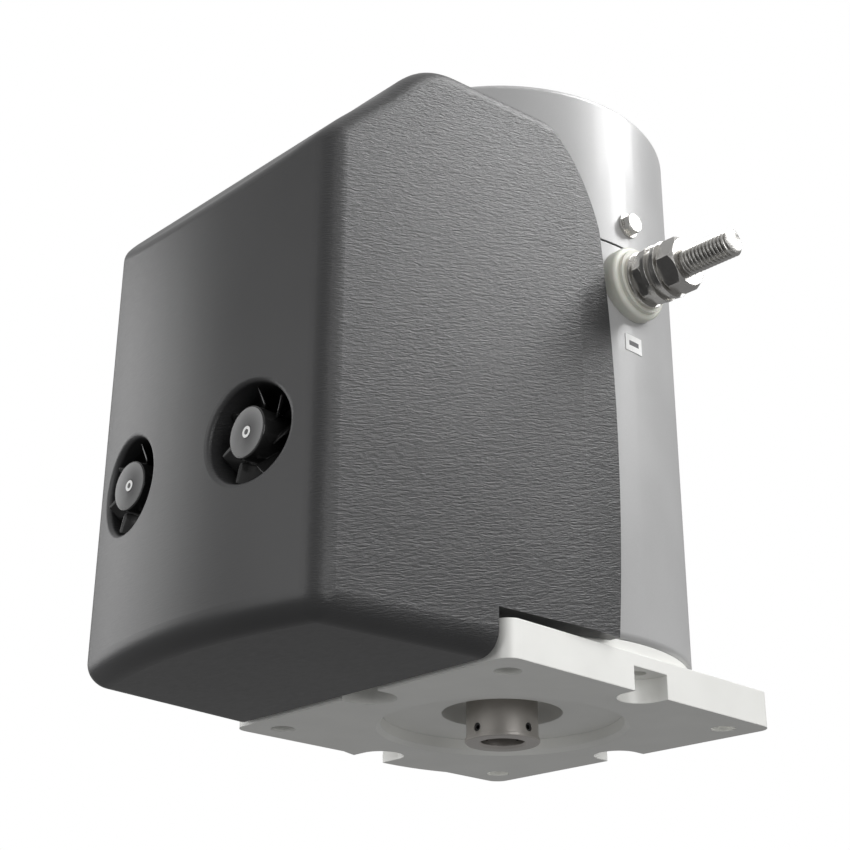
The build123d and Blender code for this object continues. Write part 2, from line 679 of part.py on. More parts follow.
def brush_ring():
    """Moulded ring that carries the brush holders, clamped between can and cap."""
    ring = tube(CAN_IN_R + LAP_WALL - SLIP, COMMUTATOR_R + 2.5, BRUSH_RING_Z, BRUSH_RING_TOP)
    for hole in around(tie_bolt(TIE_BOLT_CLEARANCE), TIE_BOLT_COUNT, 45):
        ring = ring - hole
    return ring


def brush_space():
    """Radial box of one brush, from the commutator outwards."""
    top = BRUSH_RING_Z - BRUSH_HOLDER_WALL
    return (
        (COMMUTATOR_R - 2, COMMUTATOR_R + BRUSH_GAP + BRUSH_LENGTH),
        (-BRUSH_WIDTH / 2, BRUSH_WIDTH / 2),
        (top - BRUSH_HEIGHT, top),
    )


def brushes():
    """Carbon brushes shaped to the commutator."""
    bed = disc(COMMUTATOR_R + BRUSH_GAP, COMMUTATOR_Z0 - 9, COMMUTATOR_TOP + 9)
    return around(block(*brush_space()) - bed, BRUSH_COUNT, BRUSH_TURN)


def brush_holders():
    """Brass box round each brush, open towards the commutator and the spring."""
    x, y, z = brush_space()
    wall = BRUSH_HOLDER_WALL
    reach = x[1] + 2 * BRUSH_SPRING_R + 1
    outer = block((x[0] + 5, reach), (y[0] - wall, y[1] + wall), (z[0] - wall, z[1] + wall))
    inner = block((x[0], reach + 1), y, z)
    return around(outer - inner, BRUSH_COUNT, BRUSH_TURN)


def brush_springs():
    """Rolled strip spring behind each brush."""
    x, y, z = brush_space()
    place = Pos(x[1] + BRUSH_SPRING_R, y[0] + 1.5, (z[0] + z[1]) / 2) * Rot(-90, 0, 0)
    roll = Cylinder(BRUSH_SPRING_R, y[1] - y[0] - 3, align=ON_BASE)
    roll = roll - Cylinder(BRUSH_SPRING_R - 2, 50)
    return around(place * roll, BRUSH_COUNT, BRUSH_TURN)


def at_stud(shape):
    """One terminal piece at the right and the same at the left."""
    return both_sides(Pos(0, 0, STUD_Z) * shape)


def terminal_studs():
    """Bolt with its round head inside the can and a free threaded end outside."""
    head = rod_x(STUD_HEAD_R, STUD_HEAD_X, LINK_X)
    core = rod_x(STUD_CORE_R, STUD_HEAD_X, STUD_FREE_X)
    free = chamfer(rod_x(STUD_R, STUD_FREE_X, STUD_TIP_X).edges().group_by(Axis.X)[-1], 1.0)
    return at_stud(head + core + free)


def terminal_insulators():
    """Outer insulating bush: a flange saddled on the can, a collar, and a neck in its wall."""
    flange = fillet(rod_x(INSULATOR_R, CAN_R - 6, COLLAR_X).edges().group_by(Axis.X)[-1], 1.3)
    flange = flange - disc(CAN_R, -30, 30)
    collar = rod_x(INSULATOR_COLLAR_R, CAN_R + 1, WASHER_A_X)
    neck = rod_x(INSULATOR_NECK_R, CAN_IN_R + 1, CAN_R + 2)
    return at_stud(flange + collar + neck - rod_x(STUD_CORE_R, 0, STUD_TIP_X))


def terminal_inner_bushes():
    """Inner insulating bush against the can's inner wall."""
    flange = rod_x(INSULATOR_R - 1, BUSH_INNER_X, CAN_R) & disc(CAN_IN_R, -30, 30)
    neck = rod_x(INSULATOR_NECK_R, CAN_IN_R - 1, CAN_IN_R + 1) & disc(CAN_R, -30, 30)
    return at_stud(flange + neck - rod_x(STUD_CORE_R, 0, STUD_TIP_X))


def terminal_links():
    """Copper strip from each stud's head up to the brush ring."""
    rise = BRUSH_RING_Z - STUD_Z
    strip = block((LINK_X, BUSH_INNER_X), (-LINK_WIDTH / 2, LINK_WIDTH / 2), (-LINK_WIDTH / 2, rise))
    return at_stud(strip - rod_x(STUD_CORE_R, 0, STUD_TIP_X))


def ring_x(outer, x0, x1):
    """Washer along X on a stud."""
    return rod_x(outer, x0, x1) - rod_x(STUD_CORE_R, x0 - 1, x1 + 1)


def terminal_washers():
    """Plain washers on the studs."""
    washers = []
    for x in (WASHER_A_X, WASHER_B_X, WASHER_C_X):
        washers = washers + at_stud(ring_x(PLAIN_WASHER_R, x, x + PLAIN_WASHER))
    return washers


def terminal_spring_washers():
    """Split spring washers between the plain ones."""
    split = block((SPRING_X - 1, WASHER_C_X + 1), (0, SPRING_WASHER_R + 1), (-0.6, 0.6))
    return at_stud(ring_x(SPRING_WASHER_R, SPRING_X, WASHER_C_X) - Rot(25, 0, 0) * split)


def label_patch(width, height):
    """Thin curved patch on the can's surface at the label's height."""
    skin = tube(CAN_R + LABEL_THICK, CAN_R, LABEL_Z - LABEL_HEIGHT, LABEL_Z + LABEL_HEIGHT)
    z = (LABEL_Z - height / 2, LABEL_Z + height / 2)
    window = block((CAN_R / 2, CAN_R + 2), (-width / 2, width / 2), z)
    return skin & window


def polarity_marks():
    """Minus bar at the right and plus sign at the left."""
    minus = label_patch(MARK_WIDTH, MARK_STROKE)
    plus = minus + label_patch(MARK_STROKE, MARK_WIDTH)
    return [minus, Rot(0, 0, 180) * plus]


def polarity_labels():
    """White label round each mark."""
    marks = polarity_marks()
    labels = both_sides(label_patch(LABEL_WIDTH, LABEL_HEIGHT))
    return [label - mark for label, mark in zip(labels, marks)]


def cover_block(inset):
    """Solid outline of the cover, taken in by inset on every face but the rear."""
    half_rear = COVER_HALF_REAR - inset
    half_front = COVER_HALF_FRONT - inset
    corner_y = COVER_CORNER_Y + inset
    rear_y = 0.0
    sides = Polyline(
        (-half_front, corner_y),
        (-half_rear, COVER_TAPER_Y),
        (-half_rear, rear_y),
        (half_rear, rear_y),
        (half_rear, COVER_TAPER_Y),
        (half_front, corner_y),
    )
    front = ThreePointArc((half_front, corner_y), (0, corner_y - COVER_BULGE), (-half_front, corner_y))
    plan = make_face([*sides.edges(), *front.edges()])
    plan = fillet(plan.vertices().sort_by(Axis.Y)[:2], COVER_CORNER_R - inset)
    column = extrude(plan, COVER_TOP + 10)
    profile = Plane.YZ * cover_profile(inset)
    slab = extrude(profile, COVER_HALF_REAR + 10, both=True)
    return column & slab


def cover_profile(inset):
    """Side outline of the cover in (y, z)."""
    low = COVER_BOTTOM + inset
    step_y = COVER_STEP_Y - inset
    step_z = COVER_STEP_Z + inset
    top = COVER_TOP - inset
    nose_y = COVER_CORNER_Y - COVER_BULGE - 5
    skew = inset * math.sqrt(0.5)
    brow_mid = (COVER_BROW_MID[0] + skew, COVER_BROW_MID[1] - skew)
    brow_end = (COVER_BROW_END[0] + skew, COVER_BROW_END[1] - skew)
    top_front = (COVER_TOP_FRONT_Y, top)
    nose_top = (nose_y, brow_end[1] - (brow_end[0] - nose_y) * 1.2)
    underside = Polyline(nose_top, (nose_y, low), (step_y, low), (step_y, step_z))
    brow = Spline(top_front, brow_mid, brow_end, tangents=((-1, 0), (-0.55, -0.83)))
    nose = Line(brow_end, nose_top)
    low_rear = (COVER_REAR_LOW_Y - inset, step_z)
    mid_rear = (COVER_REAR_MID_Y - inset, COVER_REAR_MID_Z)
    high_rear = (COVER_REAR_HIGH_Y - inset, COVER_REAR_HIGH_Z)
    shoulder_mid = (COVER_REAR_SHOULDER[0] - skew, COVER_REAR_SHOULDER[1] - skew)
    top_rear = (COVER_TOP_REAR_Y - inset / 2, top)
    shelf = Line((step_y, step_z), low_rear)
    rear = ThreePointArc(low_rear, mid_rear, high_rear)
    shoulder = ThreePointArc(high_rear, shoulder_mid, top_rear)
    roof = Line(top_rear, top_front)
    lines = [*underside.edges(), *shelf.edges(), *rear.edges(), *shoulder.edges()]
    return make_face([*lines, *roof.edges(), *brow.edges(), *nose.edges()])


def soften_cover(shape, inset):
    """Round the cover's lower and upper outer edges."""
    floor_z = COVER_BOTTOM + inset
    rear_y = COVER_STEP_Y - inset - 1
    level = [e for e in shape.edges() if abs(e.center().Z - floor_z) < 0.01]
    low = [e for e in level if e.center().Y < rear_y]
    shape = fillet(low, COVER_BOTTOM_R - inset)
    high = [e for e in shape.edges() if is_brow_edge(e)]
    return fillet(high, COVER_TOP_R - inset)


def is_brow_edge(edge):
    """True for the edges where the roof and brow meet the sides and the front."""
    box = edge.bounding_box()
    before_rear = box.max.Y < COVER_TOP_REAR_Y + 0.01
    high = box.min.Z > COVER_BROW_END[1] - 45 and box.max.Z > COVER_BROW_END[1] - 20
    return before_rear and high and off_centre(edge)


def off_centre(edge):
    """False for edges that only cross the roof from side to side on a straight line."""
    box = edge.bounding_box()
    crosses = box.max.X - box.min.X > COVER_HALF_FRONT and box.max.Y - box.min.Y < 0.01
    return not crosses


def fan_place(side):
    """Sideways centre of one fan."""
    return side * FAN_X


def cover_shell():
    """Moulded cover: shell, fan collars, screw bosses and the cut round the can."""
    outer = soften_cover(cover_block(0.0), 0.0)
    inner = soften_cover(cover_block(COVER_WALL), COVER_WALL)
    shell = outer - inner
    nose_y = COVER_CORNER_Y - COVER_BULGE
    for side in (-1, 1):
        x = fan_place(side)
        collar_r = FAN_MOUTH_R + FAN_COLLAR_WALL
        collar = rod_y(collar_r, nose_y, FAN_FRAME_Y, x, FAN_Z)
        shell = shell + (collar & outer)
        for dx in (-1, 1):
            for dz in (-1, 1):
                boss_x = x + dx * FAN_HOLE_SPACING / 2
                boss_z = FAN_Z + dz * FAN_HOLE_SPACING / 2
                boss = rod_y(FAN_BOSS_R, nose_y, FAN_FRAME_Y, boss_x, boss_z)
                shell = shell + (boss & outer)
    for side in (-1, 1):
        shell = shell - rod_y(FAN_MOUTH_R, nose_y - 9, FAN_FRAME_Y + 1, fan_place(side), FAN_Z)
    rims = [e for e in shell.edges() if is_fan_rim(e)]
    shell = fillet(rims, FAN_LIP_R)
    for screw in fan_screw_places():
        shell = shell - rod_y(FAN_SCREW_R, fan_screw_tip(screw[0]), FAN_FRAME_Y + 1, *screw)
    for x in (-COVER_SCREW_X, COVER_SCREW_X):
        hole = disc(COVER_SCREW_R + SCREW_CLEARANCE, BRACKET_TOP - 2, COVER_TOP + 2)
        shell = shell - Pos(x, cover_screw_y(), 0) * hole
    shell = shell - disc(CAN_R + CAN_GAP, COVER_STEP_Z - 1, COVER_TOP + 2)
    return shell


def is_fan_rim(edge):
    """True for the outer rim of a fan opening."""
    box = edge.bounding_box()
    wide = abs(box.max.Z - box.min.Z - 2 * FAN_MOUTH_R) < 0.1
    level = abs((box.max.Z + box.min.Z) / 2 - FAN_Z) < 0.1
    return wide and level and box.max.Y < FAN_FRAME_Y - 1


def front_y(x):
    """The cover's outer front face at a place x."""
    radius = (COVER_HALF_FRONT**2 + COVER_BULGE**2) / (2 * COVER_BULGE)
    centre_y = COVER_CORNER_Y - COVER_BULGE + radius
    return centre_y - math.sqrt(radius**2 - x**2)


def fan_screw_places():
    """Sideways place and height of every fan screw."""
    half = FAN_HOLE_SPACING / 2
    corners = [(dx, dz) for dx in (-half, half) for dz in (-half, half)]
    return [(fan_place(side) + dx, FAN_Z + dz) for side in (-1, 1) for dx, dz in corners]


def fan_screw_tip(x):
    """Where a fan screw ends, inside the cover's wall."""
    return max(front_y(x) + COVER_WALL + 0.4, FAN_FRAME_Y - 6)


def cover_screw_y():
    """Middle of the bracket's top flange."""
    return BRACKET_Y - BRACKET_FLANGE / 2 - 1


def fan_frames():
    """Square fan frame with round duct, rear struts and motor base, one each side."""
    frames = []
    for side in (-1, 1):
        frame = Plane.XZ * RectangleRounded(FAN_FRAME_SIDE, FAN_FRAME_SIDE, 3)
        frame = Pos(0, FAN_FRAME_REAR, 0) * extrude(frame, FAN_FRAME_THICK)
        frame = frame - rod_y(FAN_MOUTH_R, FAN_FRAME_Y - 1, FAN_FRAME_REAR + 1)
        frame = frame + rod_y(FAN_HUB_R, FAN_BASE_FRONT, FAN_FRAME_REAR)
        half_strut = FAN_STRUT_WIDTH / 2
        strut = block((0, FAN_MOUTH_R + 1), (FAN_BASE_FRONT, FAN_FRAME_REAR), (-half_strut, half_strut))
        for turn in (30, 150, 270):
            frame = frame + Rot(0, turn, 0) * strut
        frame = frame - rod_y(FAN_PIN_R + FAN_FIT, FAN_BASE_FRONT - 1, FAN_FRAME_REAR + 1)
        half = FAN_HOLE_SPACING / 2
        for x in (-half, half):
            for z in (-half, half):
                hole_r = FAN_SCREW_R + SCREW_CLEARANCE
                frame = frame - rod_y(hole_r, FAN_FRAME_Y - 1, FAN_FRAME_REAR + 1, x, z)
        frames.append(Pos(fan_place(side), 0, FAN_Z) * frame)
    return frames


def fan_rotor(side):
    """Hub cup with pitched blades."""
    rear = FAN_BASE_FRONT - FAN_RUN_GAP
    hub = rod_y(FAN_HUB_R, FAN_HUB_FRONT_Y, rear)
    hub = chamfer(hub.edges().group_by(Axis.Y)[0], 0.4)
    swept = rod_y(FAN_TIP_R, FAN_BLADE_FRONT_Y, rear - 0.5)
    middle = (FAN_BLADE_FRONT_Y + rear) / 2
    long_side = 2 * (rear - FAN_BLADE_FRONT_Y)
    from_hub = (Align.MIN, Align.CENTER, Align.CENTER)
    blade = Box(FAN_TIP_R + 4, long_side, FAN_BLADE_THICK, align=from_hub)
    blade = Pos(0, middle, 0) * Rot(FAN_BLADE_PITCH, 0, 0) * blade
    blade = (blade & swept) - rod_y(FAN_HUB_R - 1, FAN_HUB_FRONT_Y - 1, rear + 1)
    rotor = join([hub] + [Rot(0, 360 * i / FAN_BLADES, 0) * blade for i in range(FAN_BLADES)])
    rotor = rotor - rod_y(FAN_PIN_R, FAN_HUB_FRONT_Y + 3, rear + 1)
    return Pos(fan_place(side), 0, FAN_Z) * rotor


def fan_pin(side):
    """Fan spindle, pressed into the rotor and running in the frame's base."""
    return rod_y(FAN_PIN_R, FAN_HUB_FRONT_Y + 3, FAN_FRAME_REAR - 0.2, fan_place(side), FAN_Z)


def fan_screws():
    """Pan head screws through the fan frames into the cover's bosses."""
    screws = []
    for x, z in fan_screw_places():
        shank = rod_y(FAN_SCREW_R, fan_screw_tip(x), FAN_FRAME_REAR + 1, x, z)
        head = rod_y(FAN_SCREW_HEAD_R, FAN_FRAME_REAR, FAN_FRAME_REAR + FAN_SCREW_HEAD, x, z)
        head = fillet(head.edges().group_by(Axis.Y)[-1], 0.6)
        screws.append(shank + head)
    return screws


def bracket_spacer_places():
    """Sideways place and height of the four bracket fixings."""
    return [(x, z) for x in (-SPACER_X, SPACER_X) for z in (SPACER_LOW_Z, SPACER_HIGH_Z)]


def electronics_bracket():
    """Folded sheet bracket behind the electronics, with a flange under the cover's roof."""
    wide = (-BRACKET_HALF, BRACKET_HALF)
    narrow = (-BRACKET_FLANGE_HALF, BRACKET_FLANGE_HALF)
    plate = block(wide, (BRACKET_FRONT, BRACKET_Y), (BRACKET_Z0, BRACKET_SHOULDER_Z))
    neck = block(narrow, (BRACKET_FRONT, BRACKET_Y), (BRACKET_SHOULDER_Z - 1, BRACKET_TOP))
    flange_y = (BRACKET_Y - BRACKET_FLANGE, BRACKET_Y)
    flange = block(narrow, flange_y, (BRACKET_TOP - BRACKET_THICK, BRACKET_TOP))
    bracket = plate + neck + flange
    for x, z in bracket_spacer_places():
        hole_r = COVER_SCREW_R + SCREW_CLEARANCE
        bracket = bracket - rod_y(hole_r, BRACKET_FRONT - 1, BRACKET_Y + 1, x, z)
    bracket = bracket - rod_y(GROMMET_R, BRACKET_FRONT - 1, BRACKET_Y + 1, z=LEAD_Z)
    for x in (-COVER_SCREW_X, COVER_SCREW_X):
        thread = disc(COVER_SCREW_R, BRACKET_TOP - 9, BRACKET_TOP + 1)
        bracket = bracket - Pos(x, cover_screw_y(), 0) * thread
    for x, z in board_hole_places():
        bracket = bracket - rod_y(BOARD_SCREW_R, BRACKET_FRONT - 1, BRACKET_Y + 1, x, z)
    return bracket


def bracket_spacers():
    """Sleeves between the can's round side and the flat bracket."""
    spacers = []
    for x, z in bracket_spacer_places():
        sleeve = rod_y(SPACER_R, BRACKET_Y, -CAN_IN_R + 12, x, z) - disc(CAN_R, 0, CAN_SEAM_Z)
        sleeve = sleeve - rod_y(COVER_SCREW_R, BRACKET_Y - 1, 0, x, z)
        spacers.append(sleeve.solids().sort_by(Axis.Y)[0])
    return spacers


def bracket_screws():
    """Pan head screws through bracket and spacers into the can's wall."""
    screws = []
    for x, z in bracket_spacer_places():
        shank = rod_y(COVER_SCREW_R, BRACKET_FRONT - 1, bracket_screw_tip(), x, z)
        head = rod_y(COVER_SCREW_HEAD_R, BRACKET_FRONT - COVER_SCREW_HEAD, BRACKET_FRONT, x, z)
        screws.append(shank + fillet(head.edges().group_by(Axis.Y)[0], 0.8))
    return screws


def cover_screws():
    """Pan head screws that hold the cover's roof to the bracket."""
    shank = disc(COVER_SCREW_R, COVER_TOP - COVER_SCREW_LENGTH, COVER_TOP + 1)
    head_top = COVER_TOP + COVER_SCREW_HEAD
    head = disc(COVER_SCREW_HEAD_R, COVER_TOP, head_top)
    head = fillet(head.edges().group_by(Axis.Z)[-1], 1.0)
    outline = RegularPolygon(COVER_SCREW_SOCKET_R, 6, major_radius=False)
    socket = Pos(0, 0, head_top - COVER_SCREW_SOCKET_DEPTH) * extrude(outline, 2)
    screw = shank + head - socket
    return [Pos(x, cover_screw_y(), 0) * screw for x in (-COVER_SCREW_X, COVER_SCREW_X)]


def heat_sink():
    """Finned block on the bracket, in the fans' air stream."""
    base_y = BRACKET_FRONT - SINK_BASE
    sink = block((-SINK_HALF, SINK_HALF), (base_y, BRACKET_FRONT), (SINK_Z0, SINK_TOP))
    pitch = (2 * SINK_HALF - SINK_FIN_THICK) / (SINK_FINS - 1)
    for i in range(SINK_FINS):
        x = -SINK_HALF + i * pitch
        fin_y = (base_y - SINK_FIN_REACH, base_y + 1)
        sink = sink + block((x, x + SINK_FIN_THICK), fin_y, (SINK_Z0, SINK_FIN_TOP))
    for x, z in bracket_spacer_places():
        sink = sink - rod_y(COVER_SCREW_HEAD_R + 1, base_y - 99, BRACKET_FRONT + 1, x, z)
    return sink


def power_transistors():
    """Flat transistors clamped to the sink above its fins."""
    width, depth, height = CHIP_SIZE
    face = BRACKET_FRONT - SINK_BASE
    pitch = (2 * SINK_HALF - width - 4) / (CHIP_COUNT - 1)
    chips = []
    for i in range(CHIP_COUNT):
        x = -SINK_HALF + 2 + i * pitch
        chips.append(block((x, x + width), (face - depth, face), (CHIP_Z, CHIP_Z + height)))
    return chips


def board_hole_places():
    """Corner holes of the circuit board; the lower pair stands above the heat sink."""
    x = BOARD_HALF - BOARD_HOLE_INSET
    low = SINK_TOP + BOARD_HOLE_INSET
    return [(sx * x, z) for sx in (-1, 1) for z in (low, BOARD_Z1 - BOARD_HOLE_INSET)]


def circuit_board():
    """Control board parallel to the bracket."""
    board = block((-BOARD_HALF, BOARD_HALF), (BOARD_FRONT, BOARD_Y), (BOARD_Z0, BOARD_Z1))
    for x, z in board_hole_places():
        hole_r = BOARD_SCREW_R + SCREW_CLEARANCE
        board = board - rod_y(hole_r, BOARD_FRONT - 1, BOARD_Y + 1, x, z)
    for x in (-LEAD_X, LEAD_X):
        board = board - rod_y(LEAD_R, BOARD_FRONT - 1, BOARD_Y + 1, x, LEAD_Z)
    return board


def board_standoffs():
    """Pillars between bracket and board."""
    pillars = []
    for x, z in board_hole_places():
        bore = rod_y(BOARD_SCREW_R, BOARD_Y - 1, BRACKET_FRONT + 1, x, z)
        pillars.append(rod_y(STANDOFF_R, BOARD_Y, BRACKET_FRONT, x, z) - bore)
    return pillars


def board_screws():
    """Long screws through board and pillars into the bracket."""
    screws = []
    for x, z in board_hole_places():
        shank = rod_y(BOARD_SCREW_R, BOARD_FRONT - 1, BRACKET_Y, x, z)
        head = rod_y(2 * BOARD_SCREW_R, BOARD_FRONT - 1.6, BOARD_FRONT, x, z)
        screws.append(shank + fillet(head.edges().group_by(Axis.Y)[0], 0.5))
    return screws


def capacitors():
    """Round capacitors standing on the board's front."""
    pitch = (2 * BOARD_HALF - 2 * CAPACITOR_R - 6) / (CAPACITOR_COUNT - 1)
    cans = []
    for i in range(CAPACITOR_COUNT):
        x = -BOARD_HALF + CAPACITOR_R + 3 + i * pitch
        can = rod_y(CAPACITOR_R, BOARD_FRONT - CAPACITOR_LENGTH, BOARD_FRONT, x, CAPACITOR_Z)
        cans.append(fillet(can.edges().group_by(Axis.Y)[0], 1.0))
    return cans


def relay():
    """Motor relay on the board."""
    width, depth, height = RELAY_SIZE
    body = block((-width / 2, width / 2), (BOARD_FRONT - depth, BOARD_FRONT), (RELAY_Z, RELAY_Z + height))
    body = fillet(body.edges().filter_by(Axis.Y), 1.5)
    for x in (-LEAD_X, LEAD_X):
        body = body - rod_y(LEAD_R, BOARD_FRONT - 3, BOARD_FRONT + 1, x, LEAD_Z)
    return body


def motor_leads():
    """Two insulated leads from the relay through the grommet and up to the brush ring."""
    leads = []
    for x in (-LEAD_X, LEAD_X):
        start = (x, BOARD_FRONT - 3, LEAD_Z)
        corner = (x, LEAD_INNER_Y, LEAD_Z)
        end = (x, LEAD_INNER_Y, BRUSH_RING_Z)
        path = FilletPolyline(start, corner, end, radius=LEAD_BEND_R)
        profile = Plane(origin=start, z_dir=(0, 1, 0)) * Circle(LEAD_R)
        leads.append(sweep(profile, path=path))
    return leads


def cable_grommet():
    """Rubber grommet in the can's wall, lipped outside."""
    neck_r = GROMMET_R - GROMMET_LIP
    neck = rod_y(neck_r, -CAN_R - 3, -CAN_IN_R + 3, z=LEAD_Z) & disc(CAN_R + 1, 0, CAN_SEAM_Z)
    neck = neck - disc(CAN_IN_R, 0, CAN_SEAM_Z)
    lip = rod_y(GROMMET_R, -CAN_R - 2, -CAN_R + 5, z=LEAD_Z) - disc(CAN_R, 0, CAN_SEAM_Z + 9)
    grommet = neck + lip
    for x in (-LEAD_X, LEAD_X):
        grommet = grommet - rod_y(LEAD_R, -CAN_R - 9, -CAN_IN_R + 9, x, LEAD_Z)
    return grommet


def housing_nodes():
    """Everything that stands still on the flange."""
    save("base_plate", base_plate())
    save("motor_can", motor_can())
    save("end_cap", end_cap())
    save("cap_gasket", cap_gasket())
    save("end_cap_screws", cap_screws())
    save("tie_bolts", tie_bolts())
    save("field_magnets", magnets())
    save("bearing_outer_races", list(both_bearings(bearing_outer)))
    lower_balls, upper_balls = both_bearings(bearing_balls)
    save("bearing_balls", lower_balls + upper_balls)
    save("oil_seal", oil_seal())
    save("bearing_circlip", circlip())
    save("bearing_preload_washer", wave_washer())
    save("brush_ring", brush_ring())
    save("brush_holders", brush_holders())
    save("brushes", brushes())
    save("brush_springs", brush_springs())


def terminal_nodes():
    """Power terminals and their polarity labels."""
    save("terminal_studs", terminal_studs())
    save("terminal_insulators", terminal_insulators())
    save("terminal_inner_bushes", terminal_inner_bushes())
    save("terminal_links", terminal_links())
    save("terminal_washers", terminal_washers())
    save("terminal_spring_washers", terminal_spring_washers())
    lock_nut = hex_nut(NUT_FLATS, STUD_CORE_R, THIN_NUT_X, WASHER_B_X, LOCK_NUT_TURN)
    clamp_nut = hex_nut(NUT_FLATS, STUD_CORE_R, NUT_X, NUT_X + NUT, CLAMP_NUT_TURN)
    save("terminal_lock_nuts", at_stud(lock_nut))
    save("terminal_clamp_nuts", at_stud(clamp_nut))
    save("polarity_labels", polarity_labels())
    save("polarity_marks", polarity_marks())


def armature_nodes():
    """Everything that turns with the motor."""
    save("armature_shaft", shaft())
    save("armature_core", slotted_core())
    save("armature_windings", windings())
    save("commutator_bars", commutator_bars())
    sleeve = tube(COMMUTATOR_SLEEVE_R, SHAFT_MAIN_R, COMMUTATOR_Z0, COMMUTATOR_TOP)
    save("commutator_sleeve", sleeve)
    save("bearing_inner_races", list(both_bearings(bearing_inner)))
    save("output_hub", output_hub())
    save("hub_key", hub_key())
    headless = set_screw(SET_SCREW_SOCKET_R, HUB_SOCKET_R + SET_SCREW_SINK, HUB_R - SET_SCREW_SINK)
    save("hub_set_screws", around(headless, SET_SCREW_COUNT))


def cover_nodes():
    """Cover, fans and electronics."""
    save("cover_shell", cover_shell())
    save("cover_screws", cover_screws())
    save("fan_frames", fan_frames())
    save("fan_screws", fan_screws())
    for name, side in (("left", -1), ("right", 1)):
        save(f"fan_rotor_{name}", fan_rotor(side))
        save(f"fan_spindle_{name}", fan_pin(side))
    save("electronics_bracket", electronics_bracket())
    save("bracket_spacers", bracket_spacers())
    save("bracket_screws", bracket_screws())
    save("heat_sink", heat_sink())
    save("power_transistors", power_transistors())
    save("circuit_board", circuit_board())
    save("board_standoffs", board_standoffs())
    save("board_screws", board_screws())
    save("capacitors", capacitors())
    save("motor_relay", relay())
    save("motor_leads", motor_leads())
    save("cable_grommet", cable_grommet())


os.makedirs("parts", exist_ok=True)
housing_nodes()
terminal_nodes()
armature_nodes()
cover_nodes()
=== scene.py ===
import json
import math

import bmesh
import bpy
from mathutils import Matrix, Vector


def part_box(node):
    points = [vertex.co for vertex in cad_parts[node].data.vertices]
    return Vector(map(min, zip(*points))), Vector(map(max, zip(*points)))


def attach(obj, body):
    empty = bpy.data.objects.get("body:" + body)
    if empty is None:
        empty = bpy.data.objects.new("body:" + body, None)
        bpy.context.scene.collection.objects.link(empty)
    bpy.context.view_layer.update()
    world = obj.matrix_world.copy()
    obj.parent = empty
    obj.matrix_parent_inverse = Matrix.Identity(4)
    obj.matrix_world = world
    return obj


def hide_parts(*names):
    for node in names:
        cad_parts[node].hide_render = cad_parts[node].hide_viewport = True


# Looks of the garage door drive head: finishes for every part of the frame, cut threads on the
# power studs, split spring washers, and fan wheels with curved blades. Metres.

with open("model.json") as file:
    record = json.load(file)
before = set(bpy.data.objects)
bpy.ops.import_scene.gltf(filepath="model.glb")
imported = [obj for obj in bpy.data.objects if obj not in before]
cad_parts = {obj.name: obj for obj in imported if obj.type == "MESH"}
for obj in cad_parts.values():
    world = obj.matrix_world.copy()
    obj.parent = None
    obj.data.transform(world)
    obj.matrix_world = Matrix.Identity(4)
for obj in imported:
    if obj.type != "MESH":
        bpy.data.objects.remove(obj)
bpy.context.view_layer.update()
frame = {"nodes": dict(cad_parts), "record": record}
record = frame["record"]

# ---- camera ----
LENS = 68.398
CAMERA_PLACE = Vector((0.376696, -0.395793, -0.126214))
CAMERA_AZIMUTH = math.radians(46.408)
CAMERA_ELEVATION = math.radians(-23.664)
CAMERA_ROLL = math.radians(0.3136)

# ---- studio ----
FLOOR_DROP = 0.30
FLOOR_SIZE = 14.0
FLOOR_COLOUR = (0.86, 0.86, 0.85)
SKY_BANDS = [(0.0, 0.23), (0.44, 0.27), (0.67, 0.32), (0.80, 0.58), (1.0, 0.80)]
LIGHT_AIM = (0.0, -0.03, 0.10)
SOFTBOXES = [
    # name, place, side, watts
    ("right_rear", (0.58, 0.50, 1.00), 0.6, 9),
    ("rear_key", (0.80, 0.70, 0.76), 0.25, 2.0),
    ("right_side", (1.30, -0.25, 0.15), 0.8, 5.5),
    ("far_left", (-1.25, -0.60, 0.40), 0.9, 5),
    ("front_fill", (-0.20, -1.50, 0.20), 1.2, 6),
]

# ---- working sizes ----
MM = 0.001
ORIGIN = (0, 0, 0)
QUARTER_TURN = math.radians(90)
FACE_TOLERANCE = 1e-6
MIDDLE_TOLERANCE = 1e-5

# ---- cover ----
GRAIN_LEAN = math.radians(14)
WAVE_SQUEEZE = 6.0
FINE_SQUEEZE = 3.5

# ---- power studs ----
THREAD_PITCH = 1.5 * MM
THREAD_DEPTH = 0.92 * MM
THREAD_STEPS = 40
THREAD_ROOT_SHARE = 0.75
THREAD_CREST_SHARE = 0.17
THREAD_LEAD_TURNS = 2
THREAD_WELD = 0.02 * MM
STUD_HEAD_LENGTH = 3.5 * MM
STUD_SHANK_R = 4.6 * MM
STUD_OVERLAP = 0.2 * MM
STUD_TIP_BEVEL = 0.9 * MM
LINK_THICKNESS = 2 * MM

# ---- spring washers ----
WASHER_THICKNESS = 2.4 * MM
WASHER_INNER_R = 5.1 * MM
WASHER_LIFT = 0.25 * MM
WASHER_BEVEL = 0.25 * MM
WASHER_SWEEP = math.radians(346)
WASHER_TURN = math.radians(200)
WASHER_LIFT_SHARE = 0.96

